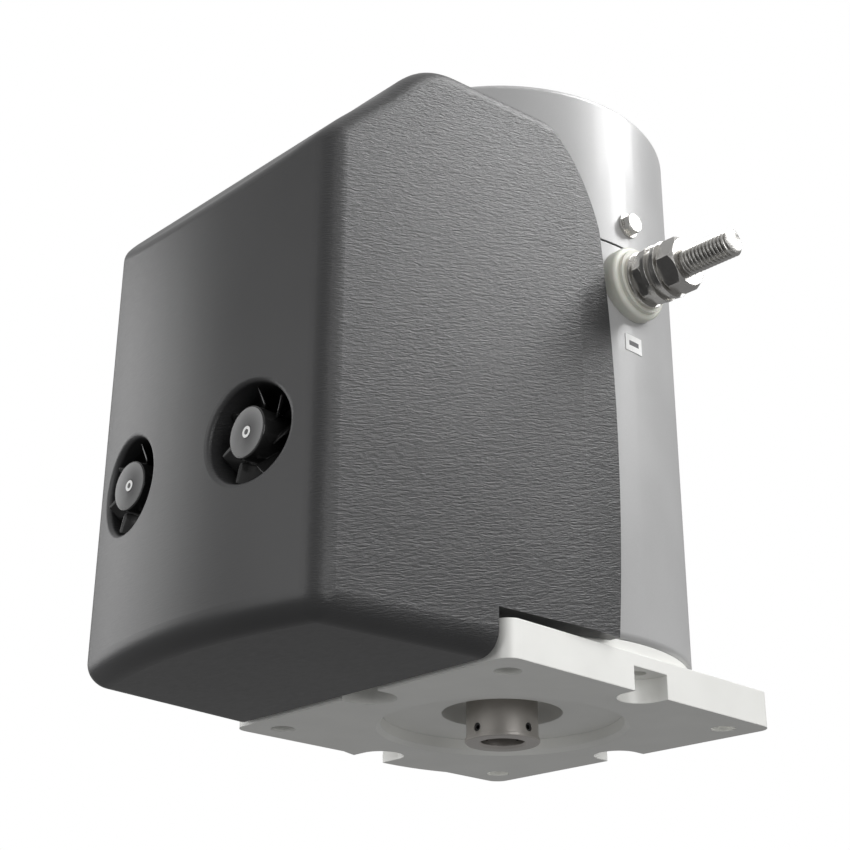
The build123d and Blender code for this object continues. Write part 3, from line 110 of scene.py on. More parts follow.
# ---- fans ----
BLADE_COUNT = 7
BLADE_COLUMNS = 7
BLADE_ROWS = 6
BLADE_CHORD_SHARE = 0.94
BLADE_BITE = 0.6 * MM
BLADE_SPARE = 1.5 * MM
BLADE_FRONT_SETBACK = 2.4 * MM
BLADE_REAR_SETBACK = 0.5 * MM
BLADE_ROOT_PITCH = math.radians(50)
BLADE_TIP_PITCH = math.radians(33)
BLADE_THICKNESS = 0.9 * MM
BLADE_CAMBER = 0.9 * MM
CAMBER_SHARES = (0.0, 0.33)
CAMBER_MARGIN = 0.02
HUB_R = 8.15 * MM
HUB_WALL = 1.1 * MM
HUB_HOLLOW_SHARE = 0.7
HUB_RIM = 0.45 * MM
DISC_SETBACK = 1.2
BADGE_R = 2.15 * MM
RING_OUTER = 1.8 * MM
RING_INNER = 0.9 * MM
PRINT_THICKNESS = 0.04 * MM
PRINT_BEVEL_SHARE = 0.8


# ---------------------------------------------------------------- finishes
class Finish:
    """A material being mixed: its shader, and the textures that feed it, on Object coordinates."""

    def __init__(self, name, metallic=0.0):
        self.material = bpy.data.materials.new(name)
        self.material.use_nodes = True
        self.nodes = self.material.node_tree.nodes
        self.links = self.material.node_tree.links
        self.shader = self.nodes["Principled BSDF"]
        self.shader.inputs["Metallic"].default_value = metallic
        self.place = self.add("ShaderNodeTexCoord").outputs["Object"]
        self.surface = None

    def add(self, kind, **settings):
        """A new node with its settings."""
        node = self.nodes.new(kind)
        for key, value in settings.items():
            setattr(node, key, value)
        return node

    def feed(self, socket, value):
        """Links a node's output to a socket, or sets the socket to a plain value."""
        if isinstance(value, bpy.types.NodeSocket):
            self.links.new(value, socket)
        else:
            socket.default_value = value

    def stretched(self, stretch):
        """Object coordinates scaled for one pattern."""
        mapping = self.add("ShaderNodeMapping")
        self.feed(mapping.inputs["Vector"], self.place)
        mapping.inputs["Scale"].default_value = stretch
        return mapping.outputs["Vector"]

    def leaning(self, lean, squeeze):
        """Object coordinates turned about X by lean, then squeezed across the grain so it runs long."""
        mapping = self.add("ShaderNodeMapping", vector_type="TEXTURE")
        self.feed(mapping.inputs["Vector"], self.place)
        mapping.inputs["Rotation"].default_value = (lean, 0, 0)
        mapping.inputs["Scale"].default_value = (1, 1, 1 / squeeze)
        return mapping.outputs["Vector"]

    def noise(self, scale, detail=3.0, stretch=(1, 1, 1), distortion=0.0, rough=0.5, place=None):
        """Cloudy pattern with about scale cells a metre."""
        node = self.add("ShaderNodeTexNoise")
        self.feed(node.inputs["Vector"], place or self.stretched(stretch))
        node.inputs["Scale"].default_value = scale
        node.inputs["Detail"].default_value = detail
        node.inputs["Roughness"].default_value = rough
        node.inputs["Distortion"].default_value = distortion
        return node.outputs[0]

    def cells(self, scale, stretch):
        """Cell pattern, such as copper tracks."""
        node = self.add("ShaderNodeTexVoronoi")
        self.feed(node.inputs["Vector"], self.stretched(stretch))
        node.inputs["Scale"].default_value = scale
        return node.outputs["Distance"]

    def rings(self, scale, direction="Z", distortion=0.4):
        """Turning marks: fine bands along one axis."""
        node = self.add("ShaderNodeTexWave", wave_type="BANDS", bands_direction=direction)
        self.feed(node.inputs["Vector"], self.place)
        node.inputs["Scale"].default_value = scale
        node.inputs["Distortion"].default_value = distortion
        node.inputs["Detail"].default_value = 2.0
        return node.outputs["Fac"]

    def level(self, factor, low, high, start=0.0, end=1.0):
        """A 0 to 1 factor spread between two values."""
        node = self.add("ShaderNodeMapRange")
        self.feed(node.inputs["Value"], factor)
        node.inputs["From Min"].default_value = start
        node.inputs["From Max"].default_value = end
        node.inputs["To Min"].default_value = low
        node.inputs["To Max"].default_value = high
        return node.outputs["Result"]

    def product(self, first, second):
        """Two factors multiplied."""
        node = self.add("ShaderNodeMath", operation="MULTIPLY")
        self.feed(node.inputs[0], first)
        self.feed(node.inputs[1], second)
        return node.outputs[0]

    def total(self, first, second):
        """Two factors added."""
        node = self.add("ShaderNodeMath", operation="ADD")
        self.feed(node.inputs[0], first)
        self.feed(node.inputs[1], second)
        return node.outputs[0]

    def ramp(self, factor, stops):
        """Colours spread along a factor, from (place, colour) stops."""
        node = self.add("ShaderNodeValToRGB")
        self.feed(node.inputs["Fac"], factor)
        band = node.color_ramp
        while len(band.elements) < len(stops):
            band.elements.new(0.5)
        for element, (place, colour) in zip(band.elements, stops):
            element.position = place
            element.color = (*colour, 1.0)
        return node.outputs["Color"]

    def over(self, factor, under, upper):
        """One colour laid over another by a factor."""
        node = self.add("ShaderNodeMix", data_type="RGBA")
        self.feed(node.inputs[0], factor)
        self.feed(node.inputs[6], under)
        self.feed(node.inputs[7], upper)
        return node.outputs[2]

    def soften(self, radius):
        """Rounds the shading of sharp edges and returns how much each point lies on an edge."""
        bevel = self.add("ShaderNodeBevel", samples=4)
        bevel.inputs["Radius"].default_value = radius
        self.surface = bevel.outputs["Normal"]
        flat = self.add("ShaderNodeNewGeometry").outputs["Normal"]
        node = self.add("ShaderNodeVectorMath", operation="DOT_PRODUCT")
        self.feed(node.inputs[0], bevel.outputs["Normal"])
        self.feed(node.inputs[1], flat)
        return self.level(node.outputs["Value"], 1.0, 0.0, 0.90, 0.995)

    def raise_by(self, height, strength, depth):
        """Bump from a height pattern, on top of what is there already."""
        node = self.add("ShaderNodeBump")
        node.inputs["Strength"].default_value = strength
        node.inputs["Distance"].default_value = depth
        self.feed(node.inputs["Height"], height)
        if self.surface is not None:
            self.feed(node.inputs["Normal"], self.surface)
        self.surface = node.outputs["Normal"]

    def done(self, colour, roughness, **settings):
        """Connects colour and roughness, sets the shader's own sockets and returns the material."""
        self.feed(self.shader.inputs["Base Color"], colour)
        self.feed(self.shader.inputs["Roughness"], roughness)
        for name, value in settings.items():
            self.shader.inputs[name.replace("_", " ")].default_value = value
        if self.surface is not None:
            self.feed(self.shader.inputs["Normal"], self.surface)
        return self.material


def shade(colour, factor):
    """A colour made lighter or darker."""
    return tuple(min(1.0, part * factor) for part in colour)


def cast_aluminium():
    """Fine satin casting of the flange, lighter where its edges are rubbed."""
    mix = Finish("cast_aluminium", metallic=0.1)
    edge = mix.soften(0.5 * MM)
    cloud = mix.noise(45, 4)
    grit = mix.noise(2600, 2)
    base = mix.ramp(cloud, [(0.25, (0.84, 0.84, 0.81)), (0.75, (0.91, 0.91, 0.88))])
    colour = mix.over(mix.product(edge, 0.5), base, (0.85, 0.85, 0.84, 1))
    mix.raise_by(grit, 0.12, 0.08 * MM)
    return mix.done(colour, mix.level(cloud, 0.38, 0.50))


def silver_coat():
    """Satin silver grey paint of the motor can and its cap."""
    mix = Finish("silver_coat", metallic=0.15)
    mix.soften(0.5 * MM)
    cloud = mix.noise(30, 3)
    flake = mix.noise(5200, 1)
    peel = mix.noise(700, 2)
    base = mix.ramp(cloud, [(0.3, (0.41, 0.41, 0.41)), (0.7, (0.45, 0.45, 0.45))])
    colour = mix.over(mix.level(flake, 0.0, 0.25, 0.45, 0.75), base, (0.60, 0.60, 0.61, 1))
    mix.raise_by(peel, 0.10, 0.04 * MM)
    return mix.done(colour, mix.level(cloud, 0.34, 0.44), Coat_Weight=0.15)


def grained_charcoal():
    """Charcoal cover moulding: long wavy leather grain, strong on its sides and faint on its front."""
    mix = Finish("grained_charcoal")
    facing = mix.add("ShaderNodeSeparateXYZ")
    normal = mix.add("ShaderNodeTexCoord").outputs["Normal"]
    mix.feed(facing.inputs[0], normal)
    sideways = mix.add("ShaderNodeMath", operation="ABSOLUTE")
    mix.feed(sideways.inputs[0], facing.outputs["X"])
    on_side = mix.level(sideways.outputs[0], 0.10, 1.0, 0.35, 0.85)
    waves = mix.noise(290, 3, distortion=0.7, rough=0.55, place=mix.leaning(GRAIN_LEAN, WAVE_SQUEEZE))
    fine = mix.noise(800, 2, distortion=0.4, place=mix.leaning(GRAIN_LEAN, FINE_SQUEEZE))
    patch = mix.noise(28, 2)
    grain = mix.total(waves, mix.product(fine, 0.25))
    grain = mix.product(grain, mix.product(on_side, mix.level(patch, 0.6, 1.2)))
    cloud = mix.noise(22, 3)
    colour = mix.ramp(cloud, [(0.3, (0.033, 0.033, 0.034)), (0.7, (0.039, 0.039, 0.040))])
    mix.raise_by(grain, 0.70, 0.40 * MM)
    return mix.done(colour, mix.level(waves, 0.32, 0.42))


def bright_zinc():
    """Bright zinc plate of screws, nuts, washers and studs."""
    mix = Finish("bright_zinc", metallic=1.0)
    edge = mix.soften(0.18 * MM)
    cloud = mix.noise(180, 3)
    base = mix.ramp(cloud, [(0.3, (0.54, 0.53, 0.51)), (0.7, (0.63, 0.62, 0.60))])
    colour = mix.over(mix.product(edge, 0.6), base, (0.86, 0.85, 0.83, 1))
    mix.raise_by(mix.noise(2400, 2), 0.08, 0.03 * MM)
    return mix.done(colour, mix.level(cloud, 0.20, 0.32))


def ivory_moulding():
    """Satin ivory insulating bush."""
    mix = Finish("ivory_moulding")
    mix.soften(0.3 * MM)
    cloud = mix.noise(140, 3)
    colour = mix.ramp(cloud, [(0.3, (0.68, 0.66, 0.59)), (0.7, (0.74, 0.72, 0.65))])
    mix.raise_by(mix.noise(1800, 2), 0.08, 0.04 * MM)
    return mix.done(colour, mix.level(cloud, 0.34, 0.46), Subsurface_Weight=0.08)


def print_ink(name, colour):
    """Satin printed patch."""
    mix = Finish(name)
    cloud = mix.noise(600, 2)
    tint = mix.ramp(cloud, [(0.3, shade(colour, 0.94)), (0.7, colour)])
    mix.raise_by(mix.noise(2600, 2), 0.05, 0.02 * MM)
    return mix.done(tint, mix.level(cloud, 0.42, 0.54))


def turned_metal(name, colour, low, high, mark_scale=900):
    """Machined metal with fine turning marks, its edges painted lighter as a highlight."""
    mix = Finish(name, metallic=0.9)
    edge = mix.soften(0.25 * MM)
    marks = mix.rings(mark_scale)
    cloud = mix.noise(90, 3)
    base = mix.ramp(cloud, [(0.3, shade(colour, 0.88)), (0.7, colour)])
    # Painted highlight: edges lifted to a lighter colour, standing for the shine of turned chamfers.
    tint = mix.over(mix.product(edge, 0.45), base, (*shade(colour, 1.5), 1))
    mix.raise_by(marks, 0.12, 0.02 * MM)
    return mix.done(tint, mix.level(cloud, low, high))


def pressed_metal(name, colour, low, high):
    """Rolled or pressed sheet metal with faint scratches along it."""
    mix = Finish(name, metallic=0.95)
    edge = mix.soften(0.2 * MM)
    lines = mix.noise(400, 2, stretch=(1, 1, 14))
    base = mix.ramp(lines, [(0.3, shade(colour, 0.90)), (0.7, colour)])
    tint = mix.over(mix.product(edge, 0.4), base, (*shade(colour, 1.35), 1))
    mix.raise_by(lines, 0.08, 0.03 * MM)
    return mix.done(tint, mix.level(lines, low, high))


def moulding(name, colour, low, high, grit=1500, strength=0.10, **settings):
    """Plain moulded plastic or rubber with a fine skin."""
    mix = Finish(name)
    mix.soften(0.25 * MM)
    cloud = mix.noise(110, 3)
    skin = mix.noise(grit, 2)
    tint = mix.ramp(cloud, [(0.3, shade(colour, 0.85)), (0.7, shade(colour, 1.1))])
    mix.raise_by(skin, strength, 0.05 * MM)
    return mix.done(tint, mix.level(cloud, low, high), **settings)


def hub_satin_with_rim_highlight():
    """Dark grey satin face of a fan hub, its rim painted lighter as a painted highlight of the bevelled
    edge.
    """
    mix = Finish("fan_hub_satin")
    edge = mix.soften(0.35 * MM)
    cloud = mix.noise(150, 3)
    base = mix.ramp(cloud, [(0.3, (0.066, 0.066, 0.067)), (0.7, (0.076, 0.076, 0.077))])
    # Painted highlight: the edge mask lifts the rim to light grey, standing for the shine of the
    # bevelled edge.
    colour = mix.over(edge, base, (0.36, 0.36, 0.36, 1))
    mix.raise_by(mix.noise(2200, 2), 0.06, 0.02 * MM)
    return mix.done(colour, mix.level(cloud, 0.48, 0.60))


def laminated_steel():
    """Stack of thin core sheets, seen as fine bands along the shaft."""
    mix = Finish("laminated_steel", metallic=0.8)
    sheets = mix.rings(320, distortion=0.0)
    colour = mix.ramp(sheets, [(0.2, (0.16, 0.16, 0.17)), (0.8, (0.34, 0.34, 0.35))])
    mix.raise_by(sheets, 0.4, 0.1 * MM)
    return mix.done(colour, mix.level(sheets, 0.35, 0.5))


def enamelled_wire():
    """Round copper wires lying side by side under clear enamel."""
    mix = Finish("enamelled_wire", metallic=0.7)
    wires = mix.rings(160, "DIAGONAL", 1.5)
    colour = mix.ramp(wires, [(0.15, (0.13, 0.05, 0.02)), (0.8, (0.50, 0.22, 0.10))])
    mix.raise_by(wires, 0.8, 0.3 * MM)
    return mix.done(colour, mix.level(wires, 0.22, 0.38), Coat_Weight=0.5)


def solder_mask():
    """Green board with faint copper tracks under its mask."""
    mix = Finish("solder_mask")
    tracks = mix.cells(140, (1, 1, 1.6))
    base = mix.ramp(tracks, [(0.40, (0.020, 0.110, 0.050)), (0.46, (0.040, 0.190, 0.085))])
    mix.raise_by(tracks, 0.12, 0.04 * MM)
    return mix.done(base, mix.level(tracks, 0.28, 0.40))


def make_finishes():
    """One material for every slot of the record."""
    return {
        "cast_plate": cast_aluminium(),
        "can_coat": silver_coat(),
        "cover_plastic": grained_charcoal(),
        "zinc_steel": bright_zinc(),
        "ivory_insulator": ivory_moulding(),
        "label_white": print_ink("label_white_ink", (0.90, 0.90, 0.89)),
        "label_grey": print_ink("label_grey_ink", (0.10, 0.10, 0.105)),
        "copper": turned_metal("bare_copper", (0.72, 0.40, 0.26), 0.25, 0.40),
        "copper_enamel": enamelled_wire(),
        "core_steel": laminated_steel(),
        "shaft_steel": turned_metal("ground_shaft", (0.60, 0.60, 0.60), 0.20, 0.30, 1600),
        "hub_steel": turned_metal("turned_hub", (0.62, 0.59, 0.56), 0.30, 0.44, 700),
        "dark_steel": pressed_metal("black_oxide", (0.10, 0.10, 0.10), 0.38, 0.52),
        "bearing_steel": turned_metal("polished_steel", (0.72, 0.72, 0.73), 0.10, 0.20, 1800),
        "seal_rubber": moulding("black_rubber", (0.035, 0.035, 0.035), 0.62, 0.78, 900, 0.2),
        "magnet_ferrite": moulding("dark_ferrite", (0.10, 0.10, 0.11), 0.55, 0.70, 700, 0.3),
        "brown_moulding": moulding("brown_phenolic", (0.17, 0.09, 0.05), 0.38, 0.52),
        "holder_brass": pressed_metal("pressed_brass", (0.72, 0.55, 0.26), 0.26, 0.40),
        "carbon": moulding("brush_carbon", (0.06, 0.06, 0.062), 0.45, 0.60, 1200, 0.25),
        "fan_black": moulding("fan_frame_black", (0.022, 0.022, 0.022), 0.36, 0.48),
        "fan_gloss": moulding("fan_blade_gloss", (0.014, 0.014, 0.014), 0.12, 0.22, 500, 0.05),
        "bracket_steel": pressed_metal("coated_sheet", (0.60, 0.61, 0.61), 0.30, 0.45),
        "sink_aluminium": pressed_metal("extruded_fins", (0.66, 0.66, 0.67), 0.30, 0.42),
        "chip_black": moulding("chip_moulding", (0.03, 0.03, 0.03), 0.50, 0.65),
        "board_green": solder_mask(),
        "capacitor_sleeve": moulding("shrink_sleeve", (0.03, 0.045, 0.11), 0.20, 0.30),
        "relay_blue": moulding("relay_case", (0.05, 0.12, 0.27), 0.38, 0.50),
        "lead_black": moulding("lead_insulation", (0.03, 0.03, 0.03), 0.40, 0.55),
    }


def dress_frame(finishes):
    """Gives every part of the frame the finish of its slot."""
    for part in record["subparts"]:
        slots = frame["nodes"][part["node"]].data.materials
        if len(slots) == 0:
            slots.append(finishes[part["material_slot"]])
        for i in range(len(slots)):
            slots[i] = finishes[part["material_slot"]]


# ---------------------------------------------------------------- mesh tools
def start(kind, name, **sizes):
    """Adds a primitive with nothing else selected, and names it."""
    bpy.ops.object.select_all(action="DESELECT")
    add = {
        "plane": bpy.ops.mesh.primitive_plane_add,
        "cylinder": bpy.ops.mesh.primitive_cylinder_add,
        "grid": bpy.ops.mesh.primitive_grid_add,
        "circle": bpy.ops.mesh.primitive_circle_add,
    }[kind]
    add(**sizes)
    piece = bpy.context.object
    piece.name = name
    piece.data.name = name
    return piece


def pick(piece, kind, test):
    """In edit mode, selects only the verts, edges or faces whose middle passes the test."""
    bpy.ops.mesh.select_all(action="DESELECT")
    modes = {"verts": "VERT", "edges": "EDGE", "faces": "FACE"}
    bpy.ops.mesh.select_mode(type=modes[kind])
    mesh = bmesh.from_edit_mesh(piece.data)
    for item in getattr(mesh, kind):
        if kind == "verts":
            middle = item.co
        elif kind == "faces":
            middle = item.calc_center_median()
        else:
            middle = (item.verts[0].co + item.verts[1].co) / 2
        if test(middle):
            item.select_set(True)
    mesh.select_flush_mode()
    bmesh.update_edit_mesh(piece.data)


def choose(piece):
    """Makes one piece the only one selected, and the active one."""
    bpy.ops.object.select_all(action="DESELECT")
    bpy.context.view_layer.objects.active = piece
    piece.select_set(True)


def edit(piece):
    """Goes into edit mode on one piece alone."""
    choose(piece)
    bpy.ops.object.mode_set(mode="EDIT")


def leave():
    """Goes back to object mode."""
    bpy.ops.object.mode_set(mode="OBJECT")


def settle(piece):
    """Puts a piece's place and turn into its mesh."""
    choose(piece)
    bpy.ops.object.transform_apply(location=True, rotation=True, scale=True)


def apply_modifier(piece, kind, **settings):
    """Adds one modifier and applies it."""
    choose(piece)
    modifier = piece.modifiers.new(kind.lower(), kind)
    for key, value in settings.items():
        setattr(modifier, key, value)
    bpy.ops.object.modifier_apply(modifier=modifier.name)


def round_along_y(name, vertices, radius, depth, place):
    """Cylinder with its axis along Y, about a place."""
    piece = start(
        "cylinder", name, vertices=vertices, radius=radius, depth=depth,
        location=place, rotation=(QUARTER_TURN, 0, 0),
    )
    settle(piece)
    return piece


def cut_to(piece, tool):
    """Keeps only what lies inside the tool, which is then removed."""
    apply_modifier(piece, "BOOLEAN", operation="INTERSECT", object=tool, solver="EXACT")
    bpy.data.objects.remove(tool)


def joined(pieces):
    """Pieces joined into the first of them."""
    bpy.ops.object.select_all(action="DESELECT")
    for piece in pieces:
        piece.select_set(True)
    bpy.context.view_layer.objects.active = pieces[0]
    bpy.ops.object.join()
    return pieces[0]


def copied(piece, name):
    """A copy with its own mesh."""
    twin = piece.copy()
    twin.data = piece.data.copy()
    twin.name = name
    twin.data.name = name
    bpy.context.scene.collection.objects.link(twin)
    return twin


def turned(piece, angle, axis, centre):
    """Turns a piece's mesh about a line."""
    place = Matrix.Translation(centre)
    piece.data.transform(place @ Matrix.Rotation(angle, 4, axis) @ place.inverted())


def smooth(piece, angle):
    """Smooth shading broken at sharp edges, with all faces outwards."""
    edit(piece)
    bpy.ops.mesh.select_all(action="SELECT")
    bpy.ops.mesh.normals_make_consistent(inside=False)
    leave()
    bpy.ops.object.shade_smooth_by_angle(angle=math.radians(angle))


def hand_over(piece, body, slot, finish, *nodes):
    """Finish and body of a finished piece, and the nodes it stands for; slot is not used."""
    piece.data.materials.clear()
    piece.data.materials.append(finish)
    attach(piece, body)
    if nodes:
        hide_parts(*nodes)


# ---------------------------------------------------------------- power studs
def mount(name):
    """A mount of the record."""
    return next(m for m in record["mounts"] if m["name"] == name)


def thread_blank(radius, length):
    """Cut thread along Z from 0 to length: one tooth profile swept up its helix."""
    root = radius - THREAD_DEPTH
    tooth = start("plane", "stud_thread", size=THREAD_PITCH)
    edit(tooth)
    bpy.ops.mesh.select_all(action="SELECT")
    bpy.ops.transform.rotate(value=QUARTER_TURN, orient_axis="X", center_override=ORIGIN)
    bpy.ops.transform.resize(value=(THREAD_DEPTH / THREAD_PITCH, 1, THREAD_ROOT_SHARE))
    bpy.ops.transform.translate(value=(root + THREAD_DEPTH / 2, 0, 0))
    pick(tooth, "verts", lambda p: p.x > root + THREAD_DEPTH / 2)
    bpy.ops.transform.resize(value=(1, 1, THREAD_CREST_SHARE))
    pick(tooth, "faces", lambda p: True)
    bpy.ops.mesh.delete(type="ONLY_FACE")
    pick(tooth, "edges", lambda p: p.x < root + 0.1 * THREAD_DEPTH)
    bpy.ops.mesh.delete(type="EDGE")
    pick(tooth, "verts", lambda p: p.x < root + 0.1 * THREAD_DEPTH and p.z > 0)
    bpy.ops.mesh.extrude_region_move(TRANSFORM_OT_translate={"value": (0, 0, THREAD_PITCH / 4)})
    leave()
    turns = math.ceil(length / THREAD_PITCH) + 2 * THREAD_LEAD_TURNS
    apply_modifier(
        tooth, "SCREW", axis="Z", angle=math.tau, steps=THREAD_STEPS, render_steps=THREAD_STEPS,
        screw_offset=THREAD_PITCH, iterations=turns, use_merge_vertices=False,
    )
    edit(tooth)
    bpy.ops.mesh.select_all(action="SELECT")
    bpy.ops.transform.translate(value=(0, 0, -THREAD_LEAD_TURNS * THREAD_PITCH))
    bpy.ops.mesh.remove_doubles(threshold=THREAD_WELD)
    for height, keep_above in ((0.0, True), (length, False)):
        bpy.ops.mesh.select_all(action="SELECT")
        bpy.ops.mesh.bisect(
            plane_co=(0, 0, height), plane_no=(0, 0, 1), use_fill=True,
            clear_inner=keep_above, clear_outer=not keep_above,
        )
    bpy.ops.mesh.select_all(action="SELECT")
    bpy.ops.mesh.normals_make_consistent(inside=False)
    leave()
    return tooth


def at_step_top(point, top):
    """True for the middle of the round face at the top of a bar."""
    return point.z > top - FACE_TOLERANCE and abs(point.x) + abs(point.y) < MIDDLE_TOLERANCE


def turned_bar(name, profile):
    """Round bar along Z from (radius, height) steps."""
    (radius, height), *steps = profile
    bar = start("cylinder", name, vertices=64, radius=radius, depth=height, location=(0, 0, height / 2))
    settle(bar)
    edit(bar)
    top = height
    for radius_next, rise in steps:
        pick(bar, "faces", lambda p, z=top: at_step_top(p, z))
        bpy.ops.mesh.inset(thickness=radius - radius_next)
        bpy.ops.mesh.extrude_region_move(TRANSFORM_OT_translate={"value": (0, 0, rise)})
        top += rise
        radius = radius_next
    leave()
    return bar


def power_stud():
    """One stud along +X: round head inside the motor, plain shank, and a free end with a cut thread."""
    socket = mount("terminal_minus")
    radius = socket["dims"]["r_mm"] * MM
    low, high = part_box("terminal_studs")
    head_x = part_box("terminal_links")[1].x - LINK_THICKNESS
    free_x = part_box("terminal_clamp_nuts")[1].x
    free_length = high.x - free_x
    height = (low.z + high.z) / 2
    head_radius = (high.z - low.z) / 2
    shank = (STUD_SHANK_R, free_x - head_x + STUD_OVERLAP)
    bar = turned_bar("threaded_studs", [(head_radius, STUD_HEAD_LENGTH), shank])
    turned(bar, QUARTER_TURN, "Y", ORIGIN)
    bar.data.transform(Matrix.Translation((head_x - STUD_HEAD_LENGTH, 0, height)))
    thread = thread_blank(radius, free_length)
    envelope = start(
        "cylinder", "tip_tool", vertices=THREAD_STEPS * 2, radius=radius, depth=free_length,
        location=(0, 0, free_length / 2),
    )
    settle(envelope)
    edit(envelope)
    pick(envelope, "faces", lambda p: p.z > free_length - FACE_TOLERANCE)
    bpy.ops.mesh.bevel(offset=STUD_TIP_BEVEL, segments=2)
    leave()
    cut_to(thread, envelope)
    turned(thread, QUARTER_TURN, "Y", ORIGIN)
    thread.data.transform(Matrix.Translation((free_x, 0, height)))
    return joined([bar, thread])


def threaded_studs(finishes):
    """Both power studs."""
    right = power_stud()
    left = copied(right, "left_stud")
    turned(left, math.pi, "Z", ORIGIN)
    pair = joined([right, left])
    smooth(pair, 30)
    hand_over(pair, "housing", "zinc_steel", finishes["zinc_steel"], "terminal_studs")


def spring_washers(finishes):
    """Split spring washers, their cut ends a little apart along the stud."""
    low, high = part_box("terminal_spring_washers")
    outer = (high.z - low.z) / 2
    wire = WASHER_THICKNESS - WASHER_LIFT
    section = start("plane", "split_spring_washers", size=1.0)
    edit(section)
    bpy.ops.mesh.select_all(action="SELECT")
    bpy.ops.transform.rotate(value=QUARTER_TURN, orient_axis="X", center_override=ORIGIN)
    bpy.ops.transform.resize(value=(outer - WASHER_INNER_R, 1, wire))
    bpy.ops.transform.translate(value=((outer + WASHER_INNER_R) / 2, 0, wire / 2))
    bpy.ops.mesh.bevel(offset=WASHER_BEVEL, segments=2)
    leave()
    apply_modifier(
        section, "SCREW", axis="Z", angle=WASHER_SWEEP, steps=64, render_steps=64,
        screw_offset=WASHER_LIFT * WASHER_LIFT_SHARE, iterations=1, use_normal_calculate=True,
    )
    turned(section, QUARTER_TURN, "Y", ORIGIN)
    turned(section, WASHER_TURN, "X", ORIGIN)
    place = (high.x - WASHER_THICKNESS, 0, (low.z + high.z) / 2)
    section.data.transform(Matrix.Translation(place))
    edit(section)
    bpy.ops.mesh.select_all(action="DESELECT")
    bpy.ops.mesh.select_mode(type="EDGE")
    bpy.ops.mesh.select_non_manifold()
    bpy.ops.mesh.fill()
    leave()
    left = copied(section, "left_spring_washer")
    turned(left, math.pi, "Z", ORIGIN)
    pair = joined([section, left])
    smooth(pair, 30)
    hand_over(pair, "housing", "zinc_steel", finishes["zinc_steel"], "terminal_spring_washers")


# ---------------------------------------------------------------- fans
def fan_hub(name, centre, radius, front, rear):
    """Hub cup along Y, its front rim bevelled and its rear hollow."""
    length = rear - front
    hub = round_along_y(name, 96, radius, length, (centre.x, (front + rear) / 2, centre.z))
    edit(hub)
    pick(hub, "faces", lambda p: p.y < front + FACE_TOLERANCE)
    bpy.ops.mesh.bevel(offset=HUB_RIM, segments=3)
    pick(hub, "faces", lambda p: p.y > rear - FACE_TOLERANCE)
    bpy.ops.mesh.inset(thickness=HUB_WALL)
    hollow = (0, -length * HUB_HOLLOW_SHARE, 0)
    bpy.ops.mesh.extrude_region_move(TRANSFORM_OT_translate={"value": hollow})
    leave()
    return hub


def fan_blade(centre, hub_radius, tip_radius, front, rear):
    """One blade beside the hub at +X: twisted from root to tip, cambered and trimmed to the round."""
    root = hub_radius - BLADE_BITE
    reach = tip_radius + BLADE_SPARE - root
    chord = (rear - front) / math.sin(BLADE_ROOT_PITCH) * BLADE_CHORD_SHARE
    middle = (front + rear) / 2
    blade = start(
        "grid", "fan_blade", x_subdivisions=BLADE_COLUMNS, y_subdivisions=BLADE_ROWS, size=1.0,
        location=ORIGIN,
    )
    edit(blade)
    bpy.ops.mesh.select_all(action="SELECT")
    bpy.ops.transform.resize(value=(reach, chord, 1))
    bpy.ops.transform.translate(value=(root + reach / 2, 0, 0))
    for share in CAMBER_SHARES:
        half_width = chord * (share / 2 + CAMBER_MARGIN)
        pick(blade, "verts", lambda p, h=half_width: abs(p.y) < h)
        bpy.ops.transform.translate(value=(0, 0, BLADE_CAMBER / 2))
    for i in range(BLADE_COLUMNS + 1):
        x = root + reach * i / BLADE_COLUMNS
        pitch = BLADE_ROOT_PITCH + (BLADE_TIP_PITCH - BLADE_ROOT_PITCH) * i / BLADE_COLUMNS
        pick(blade, "verts", lambda p, x=x: abs(p.x - x) < MIDDLE_TOLERANCE)
        bpy.ops.transform.rotate(value=-pitch, orient_axis="X", center_override=(x, 0, 0))
    leave()
    apply_modifier(blade, "SOLIDIFY", thickness=BLADE_THICKNESS, offset=0.0)
    apply_modifier(blade, "SUBSURF", levels=1, render_levels=1)
    blade.data.transform(Matrix.Translation((centre.x, middle, centre.z)))
    place = (centre.x, middle, centre.z)
    envelope = round_along_y("blade_tool", 128, tip_radius, rear - front, place)
    cut_to(blade, envelope)
    return blade


def fan_wheel(side, finishes, disc_finish):
    """Wheel of one fan with its hub disc, black badge and white ring, all turning with it."""
    node = f"fan_rotor_{side}"
    body = f"fan_{side}"
    low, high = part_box(node)
    centre = (low + high) / 2
    tip_radius = (high.z - low.z) / 2
    blade_front = low.y + BLADE_FRONT_SETBACK
    hub = fan_hub(f"fan_wheel_{side}", centre, HUB_R, low.y, high.y)
    blade = fan_blade(centre, HUB_R, tip_radius, blade_front, high.y - BLADE_REAR_SETBACK)
    blades = [blade]
    for i in range(1, BLADE_COUNT):
        twin = copied(blade, f"blade_{i}")
        turned(twin, math.tau * i / BLADE_COUNT, "Y", centre)
        blades.append(twin)
    wheel = joined([hub, *blades])
    smooth(wheel, 40)
    hand_over(wheel, body, "fan_gloss", finishes["fan_gloss"], node)
    disc = fan_disc(f"fan_hub_disc_{side}", centre, HUB_R - HUB_RIM * DISC_SETBACK, low.y)
    hand_over(disc, body, "fan_gloss", disc_finish)
    badge = fan_disc(f"fan_badge_{side}", centre, BADGE_R, low.y - PRINT_THICKNESS)
    hand_over(badge, body, "fan_black", finishes["fan_black"])
    ring = fan_ring(f"fan_ring_{side}", centre, low.y - 2 * PRINT_THICKNESS)
    hand_over(ring, body, "label_white", finishes["label_white"])


def fan_disc(name, centre, radius, front):
    """Thin disc across the plane of the hub's front face."""
    disc = round_along_y(name, 96, radius, 2 * PRINT_THICKNESS, (centre.x, front, centre.z))
    edit(disc)
    pick(disc, "faces", lambda p: p.y < front)
    bpy.ops.mesh.bevel(offset=PRINT_THICKNESS * PRINT_BEVEL_SHARE, segments=2)
    leave()
    smooth(disc, 35)
    return disc


